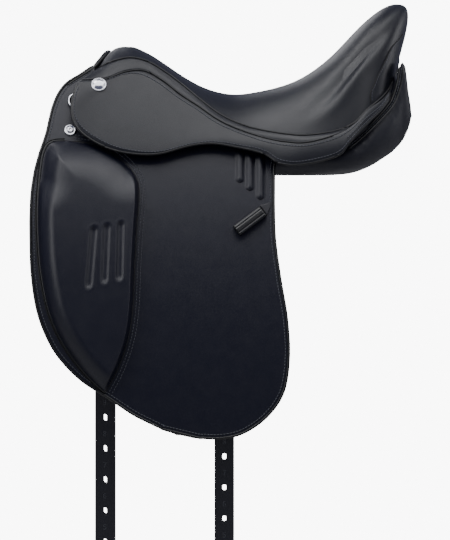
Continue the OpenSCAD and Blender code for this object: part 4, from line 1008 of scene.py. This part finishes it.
# Billets: each hole has a cell of the strap round it, whose grid runs from the hole's edge out to the cell's
# four sides. Above the cells a plain strip goes up behind the flap, and below them the strap ends in half an
# ellipse. The faces lie half a thickness from the middle, which falls to nothing round the edge.
billet = {
    "y": 122, "top": -5, "width": 27, "thick": 3.6, "round": 1.3, "tip": 22,
    "crease": 2.6, "creaseDepth": 0.3, "acrossPoints": 17, "uprightPoints": 19,
    "holes": 9, "pitch": 42.6, "tipToHole": 48, "holeWide": 5.4, "holeLong": 10.6,
    "front": {"x": -179.5, "length": 674}, "rear": {"x": -16, "length": 685},
    "numberHigh": 6.5, "numberStroke": 0.42,
    # plain hole numbers, as strokes in a box four wide and six high
    "numbers": [
        [[0.8, 4.6], [2.2, 6], [2.2, 0]],
        [[0.3, 4.6], [0.9, 5.7], [2, 6], [3.2, 5.6], [3.6, 4.5], [2.8, 3], [0.2, 0], [3.8, 0]],
        [[0.3, 5.4], [1.8, 6], [3.4, 5.2], [3.2, 3.7], [1.8, 3.2], [3.4, 2.7], [3.7, 1.2], [2, 0],
         [0.2, 0.7]],
        [[2.9, 0], [2.9, 6], [0.1, 1.8], [3.9, 1.8]],
        [[3.5, 6], [0.7, 6], [0.5, 3.3], [2.2, 3.7], [3.7, 2.6], [3.5, 0.9], [2, 0], [0.2, 0.6]],
        [[3.3, 5.6], [1.8, 6], [0.5, 4.4], [0.3, 2], [1.2, 0.2], [2.8, 0.1], [3.7, 1.6], [2.9, 3.2],
         [1.4, 3.2], [0.4, 2]],
        [[0.2, 6], [3.8, 6], [1.5, 0]],
        [[2, 3.2], [0.5, 4.2], [0.9, 5.7], [2, 6], [3.1, 5.7], [3.5, 4.2], [2, 3.2], [0.3, 1.9], [0.7, 0.4],
         [2, 0], [3.3, 0.4], [3.7, 1.9], [2, 3.2]],
        [[3.5, 4], [2.6, 2.8], [1.1, 2.8], [0.3, 4.4], [1.2, 5.9], [2.8, 5.9], [3.6, 4.2], [3.4, 1.8],
         [2.2, 0], [0.8, 0.3]]],
}


# Front and back of a stretch of strap, from points of x and z and their distance to the nearest edge
def strapFaces(p, edge):
    b = billet
    half = b["thick"] / 2 * np.sqrt(1 - (1 - np.clip(edge / b["round"], 0, 1)) ** 2)
    half = half - b["creaseDepth"] * np.exp(-((edge - b["crease"]) / 0.6) ** 2)
    return [np.stack([p[..., 0], k * half, p[..., 1]], axis=-1) for k in (1, -1)]


def billetStrap(length):
    b = billet
    wide, high, slim = b["width"] / 2, b["pitch"] / 2, (b["holeLong"] - b["holeWide"]) / 2
    tipZ = b["top"] - length
    # the cell's sides, corner to corner, and the hole's edge at the same angles
    across = wide * np.sin(np.linspace(-np.pi / 2, np.pi / 2, b["acrossPoints"]))
    upright = np.linspace(-high, high, b["uprightPoints"])
    half = [np.stack([across, high + 0 * across], 1)[:-1], np.stack([wide + 0 * upright, -upright], 1)[:-1]]
    side = np.concatenate(half + [-k for k in half])
    a = np.arctan2(side[:, 1] / high, side[:, 0] / wide)
    hole = b["holeWide"] / 2 * np.stack([np.cos(a), np.sin(a)], 1)
    hole = hole + np.outer(np.sign(np.round(np.sin(a), 6)), [0, slim])
    f = np.array([0, 0.04, 0.1, 0.22, 0.4, 0.58, 0.72, 0.82, 0.9, 0.95, 0.985, 1])[:, None, None]
    cell = hole * (1 - f) + side * f
    parts = []
    for k in range(b["holes"]):
        p = cell + [0, tipZ + b["tipToHole"] + k * b["pitch"]]
        front, back = strapFaces(p, wide - np.abs(p[..., 0]))
        rows = np.concatenate([front[::-1], back])
        parts.append(ringed(rows))
    low, top = tipZ + b["tipToHole"] - high, tipZ + b["tipToHole"] + (b["holes"] - 0.5) * b["pitch"]
    end = tipZ + b["tip"] * (1 - np.sqrt(1 - (across / wide) ** 2))
    g = (1 - (1 - np.linspace(0, 1, 26)) ** 1.8)[:, None]
    tip = np.stack([across + 0 * g, low * (1 - g) + end * g], axis=-1)
    strip = np.stack([across + 0 * g, top * (1 - g) + b["top"] * g + 0 * across], axis=-1)
    for p, edge in ((tip, tip[..., 1] - end), (strip, b["top"] - strip[..., 1])):
        front, back = strapFaces(p, np.minimum(wide - np.abs(p[..., 0]), edge))
        parts += [(q.reshape(-1, 3), gridFaces(*q.shape[:2])) for q in (front, back)]
    return parts, tipZ


# Hole numbers, one below each hole, readable from outside
def holeNumbers(tipZ, side):
    b = billet
    scale = b["numberHigh"] / 6
    marks = []
    for k, stroke in enumerate(b["numbers"]):
        q = np.array(stroke) * scale - [2 * scale, b["numberHigh"] / 2]
        run = np.concatenate([[0], np.cumsum(np.linalg.norm(np.diff(q, axis=0), axis=1))])
        at = np.linspace(0, run[-1], int(run[-1] / 0.5) + 2)
        q = np.stack([np.interp(at, run, q[:, n]) for n in (0, 1)], 1)
        z = tipZ + b["tipToHole"] + (k - 0.5) * b["pitch"]
        path = np.stack([-sides[side] * q[:, 0], np.full(len(q), b["thick"] / 2), z + q[:, 1]], 1)
        marks.append(tube(path, b["numberStroke"], 6))
    return marks


def makeBillet(side, which):
    parts, tipZ = billetStrap(billet[which]["length"])
    place = np.array([billet[which]["x"], billet["y"], 0])
    cells, marks = ([(p + place, f) for p, f in k] for k in (parts, holeNumbers(tipZ, side)))
    strap = makeSided("billet_strap_" + which, side, cells, strapLeather, 0.02)
    numbers = makeSided("billet_numbers_" + which, side, marks, numberInk)
    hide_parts(f"billet_{which}_{side}")
    for made in (strap, numbers):
        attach(made, f"{side}_{which}_billet")


for side in sides:
    for which in ("front", "rear"):
        makeBillet(side, which)
print("billets made")

# Chape: a strip folded round the ring's wire, both ends lying one on the other behind it
chape = {"x": -218, "z": 102, "ring": 11, "wire": 1.75, "gap": 0.8, "thick": 1.5, "width": 7, "length": 18,
         "clear": 0.3}


def makeChape(side):
    c = chape
    middle = c["wire"] + c["gap"] + c["thick"] / 2
    fold = middle + c["thick"] / 2
    a = np.radians(np.linspace(270, -20, 40))
    turn = middle * np.stack([np.cos(a), np.sin(a)], 1)
    path = np.concatenate([
        np.stack([np.linspace(c["length"], 1, 12), np.full(12, c["thick"] / 2 - fold)], 1), turn,
        np.stack([np.linspace(4.5, c["length"], 12), np.full(12, 1.5 * c["thick"] - fold)], 1)])
    path = evenly(path, 0.8)
    d = unit(np.gradient(path, axis=0))
    n = np.stack([-d[:, 1], d[:, 0]], 1) * (c["thick"] / 2 - 0.02)
    w = np.linspace(-1, 1, 7)[:, None] * (c["width"] / 2 - 0.4)
    off = flap["thick"] + c["clear"] + fold
    centre = onWall(np.array([c["x"] + c["ring"], c["z"]]), off)
    out = wallNormal(np.array(c["z"]), off)
    up = np.cross([1, 0, 0], out)
    outer, inner = (centre + np.array([1, 0, 0]) * q[:, :1] + out * q[:, 1:] + w[..., None] * up
                    for q in (path - n, path + n))
    piece = makeSided("ring_chape_leather", side, [leaf(outer, inner, 0.4)], strapLeather)
    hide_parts("ring_chape_" + side)
    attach(piece, "saddle")


# Nail and stud heads: turned, with a rim, a groove and a low dome or a raised middle
heads = {
    "pommel_nail": {"x": -188, "z": 123.7, "off": 21.3, "radius": 10.5, "height": 3.5, "profile": [
        [1, 0], [1.0, 0.3], [0.95, 0.5], [0.88, 0.52], [0.83, 0.42], [0.79, 0.42], [0.72, 0.58], [0.5, 0.84],
        [0.25, 0.97], [0, 1]]},
    "flap_stud": {"x": -227, "z": 61.2, "off": 5.15, "radius": 8.3, "height": 3.5, "profile": [
        [1, 0], [1.0, 0.3], [0.95, 0.5], [0.85, 0.56], [0.68, 0.5], [0.6, 0.44], [0.55, 0.6], [0.48, 0.9],
        [0.4, 1], [0.2, 0.97], [0.14, 0.8], [0, 0.78]]},
}
for name, head in heads.items():
    for side in sides:
        spun = turned(head["x"], head["z"], head["off"], head["profile"], head["radius"], head["height"])
        piece = makeSided(name + "_head", side, [spun], polishedSteel, 0.02)
        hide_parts(f"{name}_{side}")
        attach(piece, "saddle")
for side in sides:
    makeChape(side)
print("chapes, nails and studs made")

# Solids that keep their own shape get their finish here
finishes = [
    (("tree_head", "tree_rails"), beech),
    (("spring", "head_", "stirrup_bar", "bar_", "catch_pin"), forgedSteel),
    (("front_ring",), polishedSteel),
]
for name, solid in nodes.items():
    for starts, material in finishes:
        if name.startswith(starts):
            solid.data.materials.clear()
            solid.data.materials.append(material)
print("solids finished")

# Camera: square to the near side from far away, 1.37 mm to a pixel of the 450 by 540 frame at the flap
camera = {"lens": 1200, "sensor": 36, "mmPerPixel": 1.37, "pixels": 540,
          "x": -15.07, "z": -130.15, "plane": -100}
cam = bpy.data.objects.new("camera", bpy.data.cameras.new("camera"))
cam.data.lens = camera["lens"]
cam.data.sensor_width = camera["sensor"]
distance = camera["mmPerPixel"] * camera["pixels"] * camera["lens"] / camera["sensor"]
cam.location = (camera["x"] / 1000, (camera["plane"] - distance) / 1000, camera["z"] / 1000)
cam.rotation_euler = (math.pi / 2, 0, 0)
cam.data.clip_end = 100
bpy.context.scene.collection.objects.link(cam)
bpy.context.scene.camera = cam

# Light: one wide soft box high over the near side, three smaller ones overhead for the pommel, the cantle and
# the near flap, a low one behind for the far rim of the seat, and strips in front, at the right and behind
# the cantle
lights = [
    {"name": "softBox", "at": (0.0, -1.3, 2.8), "aim": (0, 0, 0.05), "size": (4.2, 1.9), "power": 64},
    {"name": "overFront", "at": (-1.4, 0.05, 2.7), "aim": (0, 0, 0.1), "size": (1.3, 1.1), "power": 18},
    {"name": "overRear", "at": (1.5, 0.3, 2.6), "aim": (0, 0, 0.1), "size": (1.3, 1.1), "power": 9},
    {"name": "overNear", "at": (0.0, -0.4, 3.0), "aim": (0, 0, 0.05), "size": (3.6, 0.6), "power": 18},
    {"name": "behind", "at": (-1.8, 3.0, 1.7), "aim": (0, 0, 0.1), "size": (3.2, 1.6), "power": 26},
    {"name": "frontStrip", "at": (-2.7, -1.5, 1.5), "aim": (0, 0, 0), "size": (1.4, 2.4), "power": 34},
    {"name": "rightStrip", "at": (2.3, -2.0, 1.4), "aim": (0, 0, 0), "size": (1.2, 1.8), "power": 12},
    {"name": "rearSide", "at": (2.9, 1.1, 0.8), "aim": (0, 0, 0), "size": (1.4, 1.4), "power": 15},
]
for spec in lights:
    data = bpy.data.lights.new(spec["name"], "AREA")
    data.shape = "RECTANGLE"
    data.size, data.size_y = spec["size"]
    data.energy = spec["power"]
    lamp = bpy.data.objects.new(spec["name"], data)
    lamp.location = spec["at"]
    aim = np.array(spec["aim"]) - np.array(spec["at"])
    lamp.rotation_euler = (math.acos(-unit(aim)[2]), 0, math.atan2(aim[1], aim[0]) - math.pi / 2)
    bpy.context.scene.collection.objects.link(lamp)

# The surround looks white in the picture, and lights the leather only faintly
world = bpy.data.worlds.new("studio")
bpy.context.scene.world = world
world.use_nodes = True
sky = world.node_tree.nodes["Background"]
ray = addNode(world.node_tree, "ShaderNodeLightPath")
level = addNode(world.node_tree, "ShaderNodeMapRange", Value=ray.outputs["Is Camera Ray"], i1=0.0, i2=1.0,
                i3=0.2, i4=9.0)
tint = addNode(world.node_tree, "ShaderNodeMix", {"data_type": "RGBA"}, Factor=ray.outputs["Is Camera Ray"],
               i6=srgb("#d2d8ff"), i7=srgb("#ffffff"))
world.node_tree.links.new(tint.outputs[2], sky.inputs["Color"])
world.node_tree.links.new(level.outputs["Result"], sky.inputs["Strength"])

# Floor: grey matt paper just under the billets, faintly uneven
ground = {"half": 5000, "below": 1}
floorMaterial, floorTree, floorShader, floorPlace = newMaterial("Matt_paper")
fleck = addNode(floorTree, "ShaderNodeTexNoise", Vector=floorPlace, Scale=3.0, Detail=2.0)
paper = addNode(floorTree, "ShaderNodeMix", {"data_type": "RGBA"}, Factor=fleck.outputs["Fac"],
                i6=srgb("#a8a8a8"), i7=srgb("#b0b0b0"))
floorTree.links.new(paper.outputs[2], floorShader.inputs["Base Color"])
floorShader.inputs["Roughness"].default_value = 0.9
floorZ = cadLow.z * 1000 - ground["below"]
square = np.array([[-1, -1, 0], [1, -1, 0], [1, 1, 0], [-1, 1, 0]])
corners = square * ground["half"] + [0, 0, floorZ]
floor = makePiece("floor", [(corners, np.array([[0, 1, 2, 3]]))], floorMaterial, smooth=False)
if floor.data.polygons[0].normal.z < 0:
    floor.data.flip_normals()
print("camera, light and floor set")
